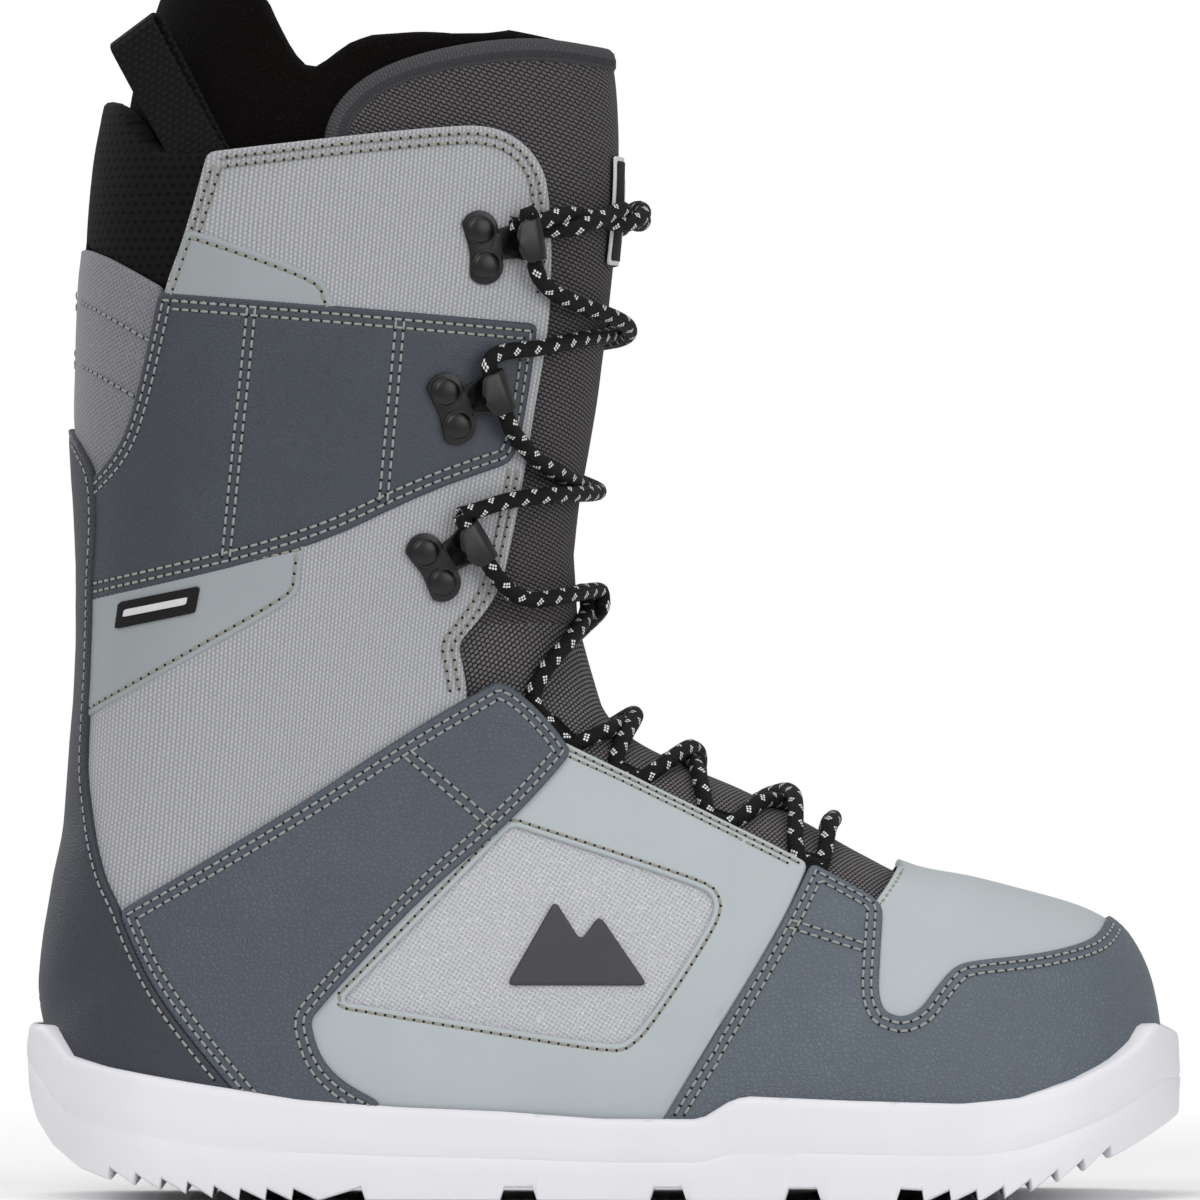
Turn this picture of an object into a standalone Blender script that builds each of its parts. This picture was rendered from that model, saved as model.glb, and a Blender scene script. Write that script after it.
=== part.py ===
"""Lace-up snowboard boot for the right foot, as an assembly of solids.

Sizes in this file are millimetres, turned into metres when an object is made. The origin is on the ground under the
middle of the sole. +X points to the toe, +Y to the inner side of the foot and +Z up.

Every part of the upper is a slice of one skin. A point of that skin has a row number u, from the toe tip (0) over
the foot and up the shaft, and a turn v, from 0 on the front centre line to 1 at the sole edge or the back.
"""

import math

import bpy
import numpy as np
from mathutils import Matrix

MM = 0.001

# One slice of the boot per row: front x, z, then back x, z, half width, and half width at the slice's lower edge.
SECTIONS = np.array(
    [
        (150.3, 44.0, 150.3, 44.0, 0.0, 0.0),
        (149.4, 51.0, 149.6, 36.0, 11.5, 11.5),
        (147.2, 59.5, 147.5, 31.5, 20.5, 20.5),
        (143.5, 67.2, 144.0, 28.0, 27.2, 27.2),
        (138.5, 73.2, 139.0, 25.0, 35.2, 35.2),
        (130.0, 77.9, 130.0, 22.0, 44.0, 44.0),
        (116.0, 82.0, 116.0, 19.5, 50.6, 50.6),
        (100.0, 86.0, 100.0, 18.0, 53.5, 53.5),
        (84.0, 89.6, 84.0, 18.0, 53.0, 53.0),
        (70.0, 96.5, 68.0, 18.0, 51.6, 51.6),
        (54.0, 105.6, 50.0, 18.0, 49.2, 49.2),
        (38.0, 113.6, 28.0, 17.0, 46.3, 46.3),
        (23.0, 119.8, 0.0, 16.0, 45.0, 42.0),
        (11.5, 125.8, -30.0, 16.0, 44.6, 40.0),
        (4.3, 132.5, -62.0, 17.0, 44.2, 39.0),
        (1.0, 141.0, -95.0, 20.0, 44.0, 38.5),
        (-1.4, 150.0, -122.0, 25.0, 44.0, 37.0),
        (-2.8, 157.5, -139.0, 31.0, 44.0, 28.5),
        (-3.4, 163.5, -148.3, 40.0, 44.2, 16.0),
        (-3.8, 170.0, -151.6, 52.0, 44.5, 0.0),
        (-3.6, 177.0, -151.4, 65.0, 44.5, 0.0),
        (-2.5, 187.0, -148.6, 84.0, 45.0, 0.0),
        (-0.5, 199.0, -145.0, 106.0, 46.0, 0.0),
        (3.5, 224.0, -142.0, 158.0, 48.5, 0.0),
        (6.4, 252.0, -144.0, 213.0, 51.5, 0.0),
        (8.1, 281.0, -142.0, 266.0, 53.0, 0.0),
        (6.4, 309.0, -135.0, 309.0, 52.0, 0.0),
        (1.0, 338.0, -124.0, 343.0, 50.0, 0.0),
    ]
)
LAST_ROW = len(SECTIONS) - 1
TURN_STEPS = 8
FRONT_BEND = 0.82
BACK_BEND = 0.12
TOE_SWING = 9.0

# How far the two faces of each layer lie outside the skin.
OVERLAY = (0.0, 1.4)
BASE = (-1.8, -0.4)
CUFF_FABRIC = (-3.0, -1.6)
CUFF_OVERLAY = (-1.2, 0.2)
BACKING = (-3.6, -2.2)
TONGUE = (-8.3, -4.7)
TONGUE_UNDER_LACE = (-8.8, -6.1)
LINER = (-14.2, -9.2)
SOLE_CUP = 1.8

SEAM_GAP = 0.25
ANKLE = (-70.0, 108.0)
OUTER, INNER = -1, 1


# ---------------------------------------------------------------- the skin


def section(u):
    """The slice at row number u, blended smoothly between the rows of SECTIONS."""
    u = np.clip(np.asarray(u, float), 0, LAST_ROW)
    low = np.minimum(u.astype(int), LAST_ROW - 1)
    t = (u - low)[..., None]
    before, start, stop, after = (SECTIONS[np.clip(low + k, 0, LAST_ROW)] for k in (-1, 0, 1, 2))
    return 0.5 * (
        2 * start
        + (stop - before) * t
        + (2 * before - 5 * start + 4 * stop - after) * t**2
        + (3 * start - before - 3 * stop + after) * t**3
    )


def skin_point(u, v):
    u, v = np.broadcast_arrays(np.asarray(u, float), np.asarray(v, float))
    front_x, front_z, back_x, back_z, width, edge = np.moveaxis(section(u), -1, 0)
    width = np.maximum(width, 0.0)
    edge = np.clip(edge, 0.0, width)
    openness = np.where(width > 1e-6, edge / np.maximum(width, 1e-6), 1.0)
    end = math.pi - np.arcsin(openness)
    angle = np.abs(v) * end
    across = (1 - np.cos(angle)) / (1 - np.cos(end))
    x = front_x + across * (back_x - front_x)
    z = front_z + across * (back_z - front_z)
    bend = FRONT_BEND + BACK_BEND * across * (1 - openness)
    y = np.sign(v) * width * np.abs(np.sin(angle)) ** bend
    y = y + TOE_SWING * (np.maximum(x - 30, 0) / 126) ** 2
    return np.stack([x, y, z], axis=-1)


def skin_slopes(u, v):
    """How the skin point moves per unit of u and per unit of v."""
    u, v = np.broadcast_arrays(np.asarray(u, float), np.asarray(v, float))
    step = 1e-3
    u_high, u_low = np.minimum(u + step, LAST_ROW), np.maximum(u - step, 0)
    v_high, v_low = np.minimum(v + step, 1), np.maximum(v - step, -1)
    along = (skin_point(u_high, v) - skin_point(u_low, v)) / (u_high - u_low)[..., None]
    around = (skin_point(u, v_high) - skin_point(u, v_low)) / (v_high - v_low)[..., None]
    return along, around


def skin_normal(u, v):
    along, around = skin_slopes(u, v)
    normal = np.cross(around, along)
    length = np.linalg.norm(normal, axis=-1, keepdims=True)
    return np.where(length > 1e-3, normal / np.maximum(length, 1e-9), (1.0, 0.0, 0.0))


def lifted(u, v, lift):
    """A point this far outside the skin."""
    return skin_point(u, v) + np.asarray(lift)[..., None] * skin_normal(u, v)


def locate(x, z, side):
    """Row and turn of the skin point seen at (x, z) from the outer side."""
    rows, turns = np.meshgrid(np.linspace(0, LAST_ROW, 136), np.linspace(0.02, 0.98, 49), indexing="ij")
    away = np.hypot(*(skin_point(rows, turns)[..., (0, 2)] - (x, z)).transpose(2, 0, 1))
    at = np.unravel_index(away.argmin(), away.shape)
    u, v = rows[at], turns[at]
    for _ in range(8):
        along, around = skin_slopes(u, v)
        slopes = np.array([[along[0], around[0]], [along[2], around[2]]])
        miss = np.array([x, z]) - skin_point(u, v)[[0, 2]]
        change = np.linalg.solve(slopes, miss)
        u, v = np.clip(u + change[0], 0, LAST_ROW), np.clip(v + change[1], 0.0, 1.0)
    return u, v * side


# ---------------------------------------------------------------- making objects


def collection(name):
    made = bpy.data.collections.new(name)
    bpy.context.scene.collection.children.link(made)
    return made


def make_object(name, points, faces, helper=False):
    mesh = bpy.data.meshes.new(name)
    mesh.from_pydata([tuple(np.asarray(point) * MM) for point in points], [], faces)
    mesh.update()
    made = bpy.data.objects.new(name, mesh)
    (HELPERS if helper else BOOT).objects.link(made)
    if helper:
        made.hide_render = True
        made.display_type = "WIRE"
    return made


def combine(target, other, operation):
    boolean = target.modifiers.new(operation.lower(), "BOOLEAN")
    boolean.operation = operation
    boolean.solver = "EXACT"
    boolean.object = other
    return target


def split_quad(base, a, b, c, d):
    """The quad as two triangles, split along its shorter diagonal; welded corners drop a triangle."""
    if np.linalg.norm(base[a] - base[c]) <= np.linalg.norm(base[b] - base[d]):
        pair = ((a, b, c), (a, c, d))
    else:
        pair = ((a, b, d), (b, c, d))
    return [face for face in pair if len(set(face)) == 3]


def shell(name, lifts, turns=(-1, 1), first_row=0, helper=False):
    """A layer of the boot as a closed body: its outer face, its inner face and walls round every free edge."""
    rows = np.arange(first_row, LAST_ROW + 1)
    columns = np.arange(round(turns[0] * TURN_STEPS), round(turns[1] * TURN_STEPS) + 1) / TURN_STEPS
    u, v = (grid.ravel() for grid in np.meshgrid(rows, columns, indexing="ij"))
    base = skin_point(u, v)
    normals = skin_normal(u, v)
    _, first, index = np.unique(np.round(base, 3), axis=0, return_index=True, return_inverse=True)
    index = index.reshape(len(rows), len(columns))
    faces = []
    for i in range(len(rows) - 1):
        for j in range(len(columns) - 1):
            a, b, c, d = index[i, j], index[i, j + 1], index[i + 1, j + 1], index[i + 1, j]
            faces += split_quad(base[first], a, b, c, d)
    back = np.abs(base[first][:, 1]) < 1e-3
    normals = np.where(back[:, None], normals[first] * (1, 0, 1), normals[first])
    normals /= np.linalg.norm(normals, axis=1, keepdims=True)
    outer = base[first] + lifts[1] * normals
    inner = base[first] + lifts[0] * normals
    count = len(first)
    edges = {(face[k], face[(k + 1) % 3]) for face in faces for k in range(3)}
    walls = [(q, p, p + count, q + count) for p, q in edges if (q, p) not in edges]
    inside = [tuple(point + count for point in reversed(face)) for face in faces]
    return make_object(name, np.concatenate([outer, inner]), faces + inside + walls, helper)


def last_solid(name, lift, helper=True):
    """The whole boot shape as one filled body, its skin moved out by lift."""
    rows = np.arange(0, LAST_ROW + 1)
    columns = np.arange(-TURN_STEPS, TURN_STEPS + 1) / TURN_STEPS
    u, v = (grid.ravel() for grid in np.meshgrid(rows, columns, indexing="ij"))
    base = skin_point(u, v)
    _, first, index = np.unique(np.round(base, 3), axis=0, return_index=True, return_inverse=True)
    index = index.reshape(len(rows), len(columns))
    faces = []
    for i in range(len(rows) - 1):
        for j in range(len(columns)):
            k = (j + 1) % len(columns)
            a, b, c, d = index[i, j], index[i, k], index[i + 1, k], index[i + 1, j]
            faces += split_quad(base[first], a, b, c, d)
    top = list(dict.fromkeys(index[-1]))
    faces.append(tuple(top))
    normals = skin_normal(u, v)[first]
    back = np.abs(base[first][:, 1]) < 1e-3
    normals = np.where(back[:, None], normals * (1, 0, 1), normals)
    normals /= np.linalg.norm(normals, axis=1, keepdims=True)
    return make_object(name, base[first] + lift * normals, faces, helper)


def inset(outline, by):
    """The outline with every side moved inward."""
    points = np.array(outline, float)
    following = np.roll(points, -1, axis=0)
    if np.sum(points[:, 0] * following[:, 1] - following[:, 0] * points[:, 1]) < 0:
        points = points[::-1]
    arriving = points - np.roll(points, 1, axis=0)
    leaving = np.roll(points, -1, axis=0) - points
    arriving /= np.linalg.norm(arriving, axis=1, keepdims=True)
    leaving /= np.linalg.norm(leaving, axis=1, keepdims=True)
    normal_in = np.stack([-arriving[:, 1], arriving[:, 0]], axis=1)
    normal_out = np.stack([-leaving[:, 1], leaving[:, 0]], axis=1)
    square = 1 + np.sum(normal_in * normal_out, axis=1, keepdims=True)
    return points + by * (normal_in + normal_out) / np.maximum(square, 0.3)


def prism(name, outline, start, stop, view="side"):
    """A cutter: the outline pushed from start to stop, along Y (side view), X (front view) or Z (top view)."""
    points = inset(outline, 0.0)
    place = {
        "side": lambda p, depth: (p[0], depth, p[1]),
        "front": lambda p, depth: (-depth, p[0], p[1]),
        "top": lambda p, depth: (p[0], p[1], -depth),
    }[view]
    count = len(points)
    body = [place(p, start) for p in points] + [place(p, stop) for p in points]
    near = tuple(range(count))
    far = tuple(range(2 * count - 1, count - 1, -1))
    sides = [(k, k + count, (k + 1) % count + count, (k + 1) % count) for k in range(count)]
    return make_object(name, body, [near, far] + sides, helper=True)


def sides_of(side):
    """Turn range and depth range of one half of the boot, or of both."""
    if side == OUTER:
        return (-1, 0), (-130, -0.2)
    if side == INNER:
        return (0, 1), (0.2, 130)
    return (-1, 1), (-130, 130)


def panel(name, outline, lifts, side=0, first_row=0):
    """A piece of one layer, cut out along an outline drawn in the side view."""
    turns, depth = sides_of(side)
    piece = shell(name, lifts, turns, first_row)
    return combine(piece, prism(name + ".cut", inset(outline, SEAM_GAP), *depth), "INTERSECT")


def both_sides(make, name, *rest, **options):
    return [make(f"{name}_{word}", *rest, side=side, **options) for word, side in SIDES]


# ---------------------------------------------------------------- small shapes on the skin


class Spot:
    """A place on the skin with its own axes: a toward the front centre line, b up along the edge, n outward."""

    def __init__(self, x, z, side):
        self.u, self.v = locate(x, z, side)
        self.side = side
        self.origin = skin_point(self.u, self.v)
        self.n = skin_normal(self.u, self.v)
        along, around = skin_slopes(self.u, self.v)
        self.a = -side * around / np.linalg.norm(around)
        self.b = np.cross(self.n, self.a) * side
        if self.b[2] < 0:
            self.b = -self.b
        flat = np.array([[along @ self.a, around @ self.a], [along @ self.b, around @ self.b]])
        self.per_mm = np.linalg.inv(flat)

    def flat(self, a, b, n):
        """A point on the flat plane that touches the skin here."""
        return self.origin + a * self.a + b * self.b + n * self.n

    def bent(self, a, b, n):
        """A point that follows the skin as it curves."""
        du, dv = self.per_mm @ np.array([a, b])
        return lifted(self.u + du, self.v + dv, n)


def extruded(name, place, outline, start, stop, helper=False, order="anb"):
    """An outline pushed along a third axis of a Spot. order names the outline's two axes, then the push."""
    where = {axis: k for k, axis in enumerate(order)}
    points = inset(outline, 0.0)

    def spot(p, depth):
        values = (p[0], p[1], depth)
        return place(values[where["a"]], values[where["b"]], values[where["n"]])

    count = len(points)
    body = [spot(p, start) for p in points] + [spot(p, stop) for p in points]
    near = tuple(range(count - 1, -1, -1))
    far = tuple(range(count, 2 * count))
    sides = [(k, (k + 1) % count, (k + 1) % count + count, k + count) for k in range(count)]
    faces = [near, far] + sides
    return make_object(name, body, facing_out(np.array(body), faces), helper)


def facing_out(points, faces):
    """The faces, turned over if they enclose a negative volume."""
    volume = 0.0
    for face in faces:
        for k in range(1, len(face) - 1):
            volume += np.dot(points[face[0]], np.cross(points[face[k]], points[face[k + 1]]))
    return faces if volume > 0 else [tuple(reversed(face)) for face in faces]


def arc(x, y, radius, start, stop, steps):
    """Points of a circle's arc, angles in degrees."""
    angles = np.radians(np.linspace(start, stop, steps + 1))
    return [(x + radius * math.cos(t), y + radius * math.sin(t)) for t in angles]


def cylinder(place, radius, low, high, a=0.0, b=0.0, steps=10):
    """Points and faces of a cylinder that stands along a Spot's outward axis."""
    ring = [(a + radius * math.cos(t), b + radius * math.sin(t)) for t in np.arange(steps) * 2 * math.pi / steps]
    points = [place(p, q, low) for p, q in ring] + [place(p, q, high) for p, q in ring]
    faces = [tuple(range(steps - 1, -1, -1)), tuple(range(steps, 2 * steps))]
    faces += [(k, (k + 1) % steps, (k + 1) % steps + steps, k + steps) for k in range(steps)]
    return points, facing_out(np.array(points), faces)


def cylinders(name, places, radius, low, high, spread):
    """One helper holding a pair of cylinders, spread apart along b, at each place."""
    points, faces = [], []
    for place in places:
        for b in (-spread, spread):
            more, turned = cylinder(place, radius, low, high, 0.0, b)
            faces += [tuple(k + len(points) for k in face) for face in turned]
            points += more
    return make_object(name, points, faces, helper=True)


def tube(name, path, radius, corners=6):
    """A round cord along a path."""
    path = np.array(path)
    ahead = np.gradient(path, axis=0)
    ahead /= np.linalg.norm(ahead, axis=1, keepdims=True)
    across = np.cross(ahead[0], (0.0, 0.0, 1.0))
    points = []
    for place, direction in zip(path, ahead):
        across = across - direction * (across @ direction)
        across /= np.linalg.norm(across)
        other = np.cross(direction, across)
        for k in range(corners):
            turn = 2 * math.pi * k / corners
            points.append(place + radius * (math.cos(turn) * across + math.sin(turn) * other))
    faces = [tuple(range(corners - 1, -1, -1)), tuple(range(len(points) - corners, len(points)))]
    for i in range(len(path) - 1):
        for k in range(corners):
            a, b = i * corners + k, i * corners + (k + 1) % corners
            faces.append((a, b, b + corners, a + corners))
    return make_object(name, points, facing_out(np.array(points), faces))


def rounded_path(corners, smoothing=3, most_turn=14.0, longest=11.0):
    """A path rounded off at its corner points, keeping only the points that it needs to bend."""
    corners = np.array(corners)
    for _ in range(smoothing):
        quarter = corners[:-1] * 0.75 + corners[1:] * 0.25
        three = corners[:-1] * 0.25 + corners[1:] * 0.75
        between = np.stack([quarter, three], axis=1).reshape(-1, 3)
        corners = np.concatenate([corners[:1], between, corners[-1:]])
    kept = [corners[0]]
    heading = corners[1] - corners[0]
    for here, following in zip(corners[1:-1], corners[2:]):
        ahead = following - here
        cosine = ahead @ heading / (np.linalg.norm(ahead) * np.linalg.norm(heading))
        turned = math.degrees(math.acos(min(1.0, cosine)))
        if turned > most_turn or np.linalg.norm(here - kept[-1]) > longest:
            kept.append(here)
            heading = ahead
    return np.array(kept + [corners[-1]])


# ---------------------------------------------------------------- outlines, side view

STRAP_TOP = [(-129.7, 77.7), (-81.5, 106.4), (-54.7, 124.4), (-28.7, 139.4)]
STRAP_FRONT = [(-23.0, 136.7), (-14.2, 127.6), (-9.1, 120.3), (-10.7, 117.4)]
STRAP_BOTTOM = [(-24.9, 101.8), (-49.0, 81.5), (-72.9, 55.5), (-78.8, 48.5), (-76.4, 39.1), (-70.5, 32.2), (-60, 25.7)]
HEEL_EDGE = [(-99.7, 30.0), (-111.0, 43.4), (-121.7, 58.2)]
STRAP = STRAP_TOP + STRAP_FRONT + STRAP_BOTTOM + [(-60, 19), (-92, 21)] + HEEL_EDGE + [(-128.4, 72.9)]

BACKSTAY_EDGE = [(-128.4, 72.9), (-129.7, 77.7), (-135.9, 89.5), (-139.9, 113.1), (-139.1, 129.2), (-138.0, 161.3)]
BACKSTAY = [(-170, 208), (-144, 208), (-136.1, 193.2)] + BACKSTAY_EDGE[::-1] + HEEL_EDGE[::-1]
BACKSTAY += [(-92, 21), (-92, 12), (-170, 12)]

CUFF_FRONT = [(-26.5, 288.6), (-15.0, 276.6), (-12.9, 241.7), (-17.2, 214.9), (-24.7, 172.1), (-28.4, 161.3)]
CUFF = [(-106.9, 281.4), (-44.0, 287.8)] + CUFF_FRONT
CUFF += [(-38.6, 149.3), (-36, 137), (-36.4, 129.5), (-58.5, 113.0), (-83.6, 96.5), (-124.5, 72.5)]
CUFF += [(-131.5, 89), (-135.3, 107.7), (-136.4, 129.2), (-136.0, 161.3), (-136.4, 193.5)]
CUFF += [(-128.4, 204.2), (-119.0, 244.4), (-113.6, 257.8)]

BAND_TOP = [(-119.5, 243.9), (-17.7, 235.3)]
BAND = BAND_TOP + [(-19.8, 217.3), (-22.5, 202.9), (-25.5, 197.8), (-49.0, 189.5), (-79.9, 174.2)]
BAND += [(-136.2, 161.0), (-136.1, 192.2), (-130.0, 201.0), (-126.0, 211.2)]
UPPER_PATCH = [(-112.0, 260.8), (-100.2, 257.0), (-81.5, 250.3), (-74.8, 246.6), (-71.8, 239.9), (-118.3, 243.8)]
LOWER_PATCH = [(-136.4, 160.9), (-79.9, 174.2), (-81.5, 163.5), (-86.0, 159.2), (-113.6, 143.9), (-136.6, 129.8)]

REAR_FLEX = [(-119.2, 246.0), (-128.9, 204.4), (-136.9, 193.7), (-139.5, 188), (-170, 188), (-170, 272), (-143.1, 258.6)]
COLLAR_TOP = [(-106.9, 282.0), (-117.7, 281.6), (-124.4, 283.5), (-128.4, 288.3), (-132.4, 294.5), (-138.8, 297.2)]
COLLAR = COLLAR_TOP + [(-170, 298), (-170, 272.5), (-143.1, 259.1), (-119.2, 246.5), (-113.8, 257.8)]

THROAT_EDGE = [(-11.8, 123.8), (53.3, 92.2)]
QUARTER = THROAT_EDGE + [(55.0, 90.0), (47.2, 72.9), (25.7, 38.1), (14.2, 18.5), (-60, 18.5)]
QUARTER += [(-62, 34), (-66, 48), (-52, 70), (-30, 88), (-22, 100)]
WINDOW = [(-24.7, 100.8), (23.6, 85.2), (28.7, 82.8), (30.0, 79.3), (27.9, 73.4), (10.7, 46.9), (4.8, 42.1)]
WINDOW += [(-4.6, 42.6), (-70.5, 53.6)]
TOE_CAP_TOP = [(55.6, 90.2), (64.6, 85.2), (72.6, 80.7), (74.8, 78.0), (74.0, 64.9), (73.4, 55.5), (75.3, 50.7)]
TOE_CAP_TOP += [(79.9, 49.3), (84.7, 51.2), (89.2, 57.4), (94.1, 63.0), (99.7, 64.3), (116.6, 65.7), (129.7, 68.6)]
TOE_CAP = TOE_CAP_TOP + [(135.0, 71.8), (133.5, 78.5), (133.5, 90), (165, 90), (165, 35.5), (147, 33.5)]
TOE_CAP += [(139, 27.0), (130, 24.0), (116, 21.5), (84, 19.8), (14.6, 19.0), (25.7, 38.1), (47.2, 72.9)]
VAMP = [(79.0, 97.0), (81.0, 92.0), (77.0, 84.0), (68.0, 74.0), (67.0, 46.0), (78.0, 41.0), (88.0, 45.0), (99.0, 57.0)]
VAMP += [(118.0, 58.5), (138.0, 63.0), (145.0, 72.0), (145.0, 97.0)]
EMBLEM = [(-26.2, 57.9), (-13.2, 80.9), (-6.2, 69.9), (-1.2, 76.9), (11.8, 57.9)]

TONGUE_TOP = [(30.0, 308.0), (6.4, 308.7), (-11.8, 310.9), (-27.9, 310.0), (-46.6, 306.6), (-60.0, 302.0), (-69.4, 295.3)]
BINDING_DROP = 5.0
LINER_RIM = [(40.0, 312.0), (0.0, 312.0), (-20.0, 315.0), (-55.0, 314.0), (-68.0, 312.0), (-86.0, 303.6)]
LINER_RIM += [(-99.0, 318.0), (-108.0, 333.0), (-150.0, 334.0)]

# The flex wedge: lines from the ankle axis to the front, below and above the folding part.
WEDGE_LOW, WEDGE_HIGH = 21.0, 37.0


def ray(degrees, length):
    """A point at this distance from the ankle axis."""
    return (
        ANKLE[0] + length * math.cos(math.radians(degrees)),
        ANKLE[1] + length * math.sin(math.radians(degrees)),
    )


# ---------------------------------------------------------------- sole

SOLE_TOP = [(-157, 46.6), (-151.7, 46.6), (-145.3, 38.6), (-135, 35.9), (-108.3, 31.4), (-81.5, 27.3), (-54.7, 25.2)]
SOLE_TOP += [(-27.9, 24.1), (-1.1, 22.2), (25.7, 22.2), (33.8, 27.3), (37.8, 28.4), (65.9, 27.3), (95.4, 26.5)]
SOLE_TOP += [(111.5, 27.9), (127.6, 32.7), (138.3, 37.5), (145, 42.1), (149.5, 49.3), (157, 42)]
SOLE_WIDTH = [(-111, 43.5), (-50, 44), (0, 46.5), (40, 52), (75, 57.5), (96, 58.5)]
HEEL_BEVEL = [(-156, 34), (-155.4, 27.3), (-153.3, 20.6), (-148.5, 13.9), (-141.8, 8.6), (-133.7, 5.6), (-121.7, 3.2)]
HEEL_END, TOE_END = -156.0, 156.2
TREAD_DEPTH = 3.2
HEEL_TEETH = (-133.0, -71.0, 7.1)
TOE_TEETH = (85.0, 150.0, 7.3)
LUGS = [(-64, -28), (-18, 12), (22, 48), (58, 78)]
RECESS_DEPTH = 3.6


def sole_half_width(x):
    if x < SOLE_WIDTH[0][0]:
        along = min(1.0, (SOLE_WIDTH[0][0] - x) / (SOLE_WIDTH[0][0] - HEEL_END))
        return SOLE_WIDTH[0][1] * (1 - along**2.2) ** (1 / 2.2)
    if x > SOLE_WIDTH[-1][0]:
        along = min(1.0, (x - SOLE_WIDTH[-1][0]) / (TOE_END - SOLE_WIDTH[-1][0]))
        return SOLE_WIDTH[-1][1] * (1 - along**2.4) ** (1 / 2.0)
    return float(np.interp(x, *zip(*SOLE_WIDTH)))


def sole_bottom(x):
    """Height of the tread's lowest line."""
    if x < HEEL_BEVEL[-1][0]:
        return float(np.interp(x, *zip(*HEEL_BEVEL)))
    if x < -100:
        return float(np.interp(x, [HEEL_BEVEL[-1][0], -100], [3.2, 0.0]))
    return 16.0 * (max(x - 100, 0) / 46) ** 1.5 if x < TOE_END else 26.0


def tread_stations():
    """(x, height above the lowest line) along the sole, with the teeth and lugs."""
    stations = [(HEEL_END + 0.6, 0.0), (-154, 0.0), (-150, 0.0), (-144, 0.0), (-138, 0.0)]
    start, stop, pitch = HEEL_TEETH
    for k in range(int((stop - start) / pitch)):
        x = start + k * pitch
        stations += [(x, TREAD_DEPTH), (x + pitch - 0.4, 0.0)]
    for low, high in LUGS:
        stations += [(low - 1.2, RECESS_DEPTH), (low, 0.0), (high, 0.0), (high + 1.2, RECESS_DEPTH)]
    start, stop, pitch = TOE_TEETH
    for k in range(int((stop - start) / pitch)):
        x = start + k * pitch
        stations += [(x, TREAD_DEPTH), (x + 0.4, 0.0)]
    return stations + [(145.5, 0.0), (150.5, 0.0), (153.8, 0.0), (155.4, 0.0)]


def loft_across(name, stations, helper=False):
    """A body lofted through outlines (y, z), one per x. Every outline has the same number of points."""
    count = len(stations[0][1])
    points = [(x, y, z) for x, outline in stations for y, z in outline]
    faces = [tuple(range(count)), tuple(range(len(points) - 1, len(points) - count - 1, -1))]
    for i in range(len(stations) - 1):
        for k in range(count):
            a, b = i * count + k, i * count + (k + 1) % count
            faces.append((a, a + count, b + count, b))
    return make_object(name, points, facing_out(np.array(points), faces), helper)


def make_outsole():
    stations = []
    for x, raised in tread_stations():
        half = sole_half_width(x)
        low = sole_bottom(x) + raised
        high = float(np.interp(x, *zip(*SOLE_TOP)))
        swing = TOE_SWING * (max(x - 30, 0) / 126) ** 2
        wall = min(2.0, half * 0.3)
        lip = min(high - 1.0, low + 7.0)
        outline = [(-half + wall, low), (-half, lip), (-half + 0.8 * wall, high)]
        outline += [(half - 0.8 * wall, high), (half, lip), (half - wall, low)]
        stations.append((x, [(y + swing, z) for y, z in outline]))
    sole = loft_across("outsole", stations)
    return combine(sole, last_solid("sole_cup", SOLE_CUP), "DIFFERENCE")


def floor_height(x):
    """Height of the underside of the upper."""
    rows = SECTIONS[5:17]
    return float(np.interp(x, rows[::-1, 2], rows[::-1, 3]))


def floor_plate(name, low, high, margin, reach):
    """A plate that follows the floor of the boot, from low to high above it."""
    stations = []
    for x in np.linspace(reach[0], reach[1], 13):
        u, v = locate(x, floor_height(x) + high + 1.0, OUTER)
        half = abs(skin_point(u, v)[1] - TOE_SWING * (max(x - 30, 0) / 126) ** 2) - margin
        ends = min(abs(x - reach[0]), abs(reach[1] - x))
        half *= 0.55 + 0.45 * math.sqrt(min(1.0, ends / 26))
        floor = floor_height(x)
        swing = TOE_SWING * (max(x - 30, 0) / 126) ** 2
        outline = [(-half, floor + low), (half, floor + low), (half, floor + high), (-half, floor + high)]
        stations.append((x, [(y + swing, z) for y, z in outline]))
    return loft_across(name, stations)


# ---------------------------------------------------------------- hooks, loops and lace

HOOK_PLACES = [(-32.7, 255.6), (-41.3, 212.5), (-45.8, 169.9)]
HOOK_BASE = (-1.2, 0.7, -1.2)
RIVET_SPREAD = 4.85
HOOK_PLATE = 1.2
HOOK_BEND = 3.9
HOOK_REACH = 12.7
SHANK, HOLE = 2.0, 2.45
LACE_RADIUS = 1.9
LOOP_PLACES = [(56.6, 92.8), (32.1, 104.2), (7.2, 116.4), (-9.8, 125.6)]
LOOP_RING = (4.8, 0.2)
LOOP_INSIDE, LOOP_OUTSIDE = 2.8, 3.8
LOOP_TAIL = (-4.2, -3.2)


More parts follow.
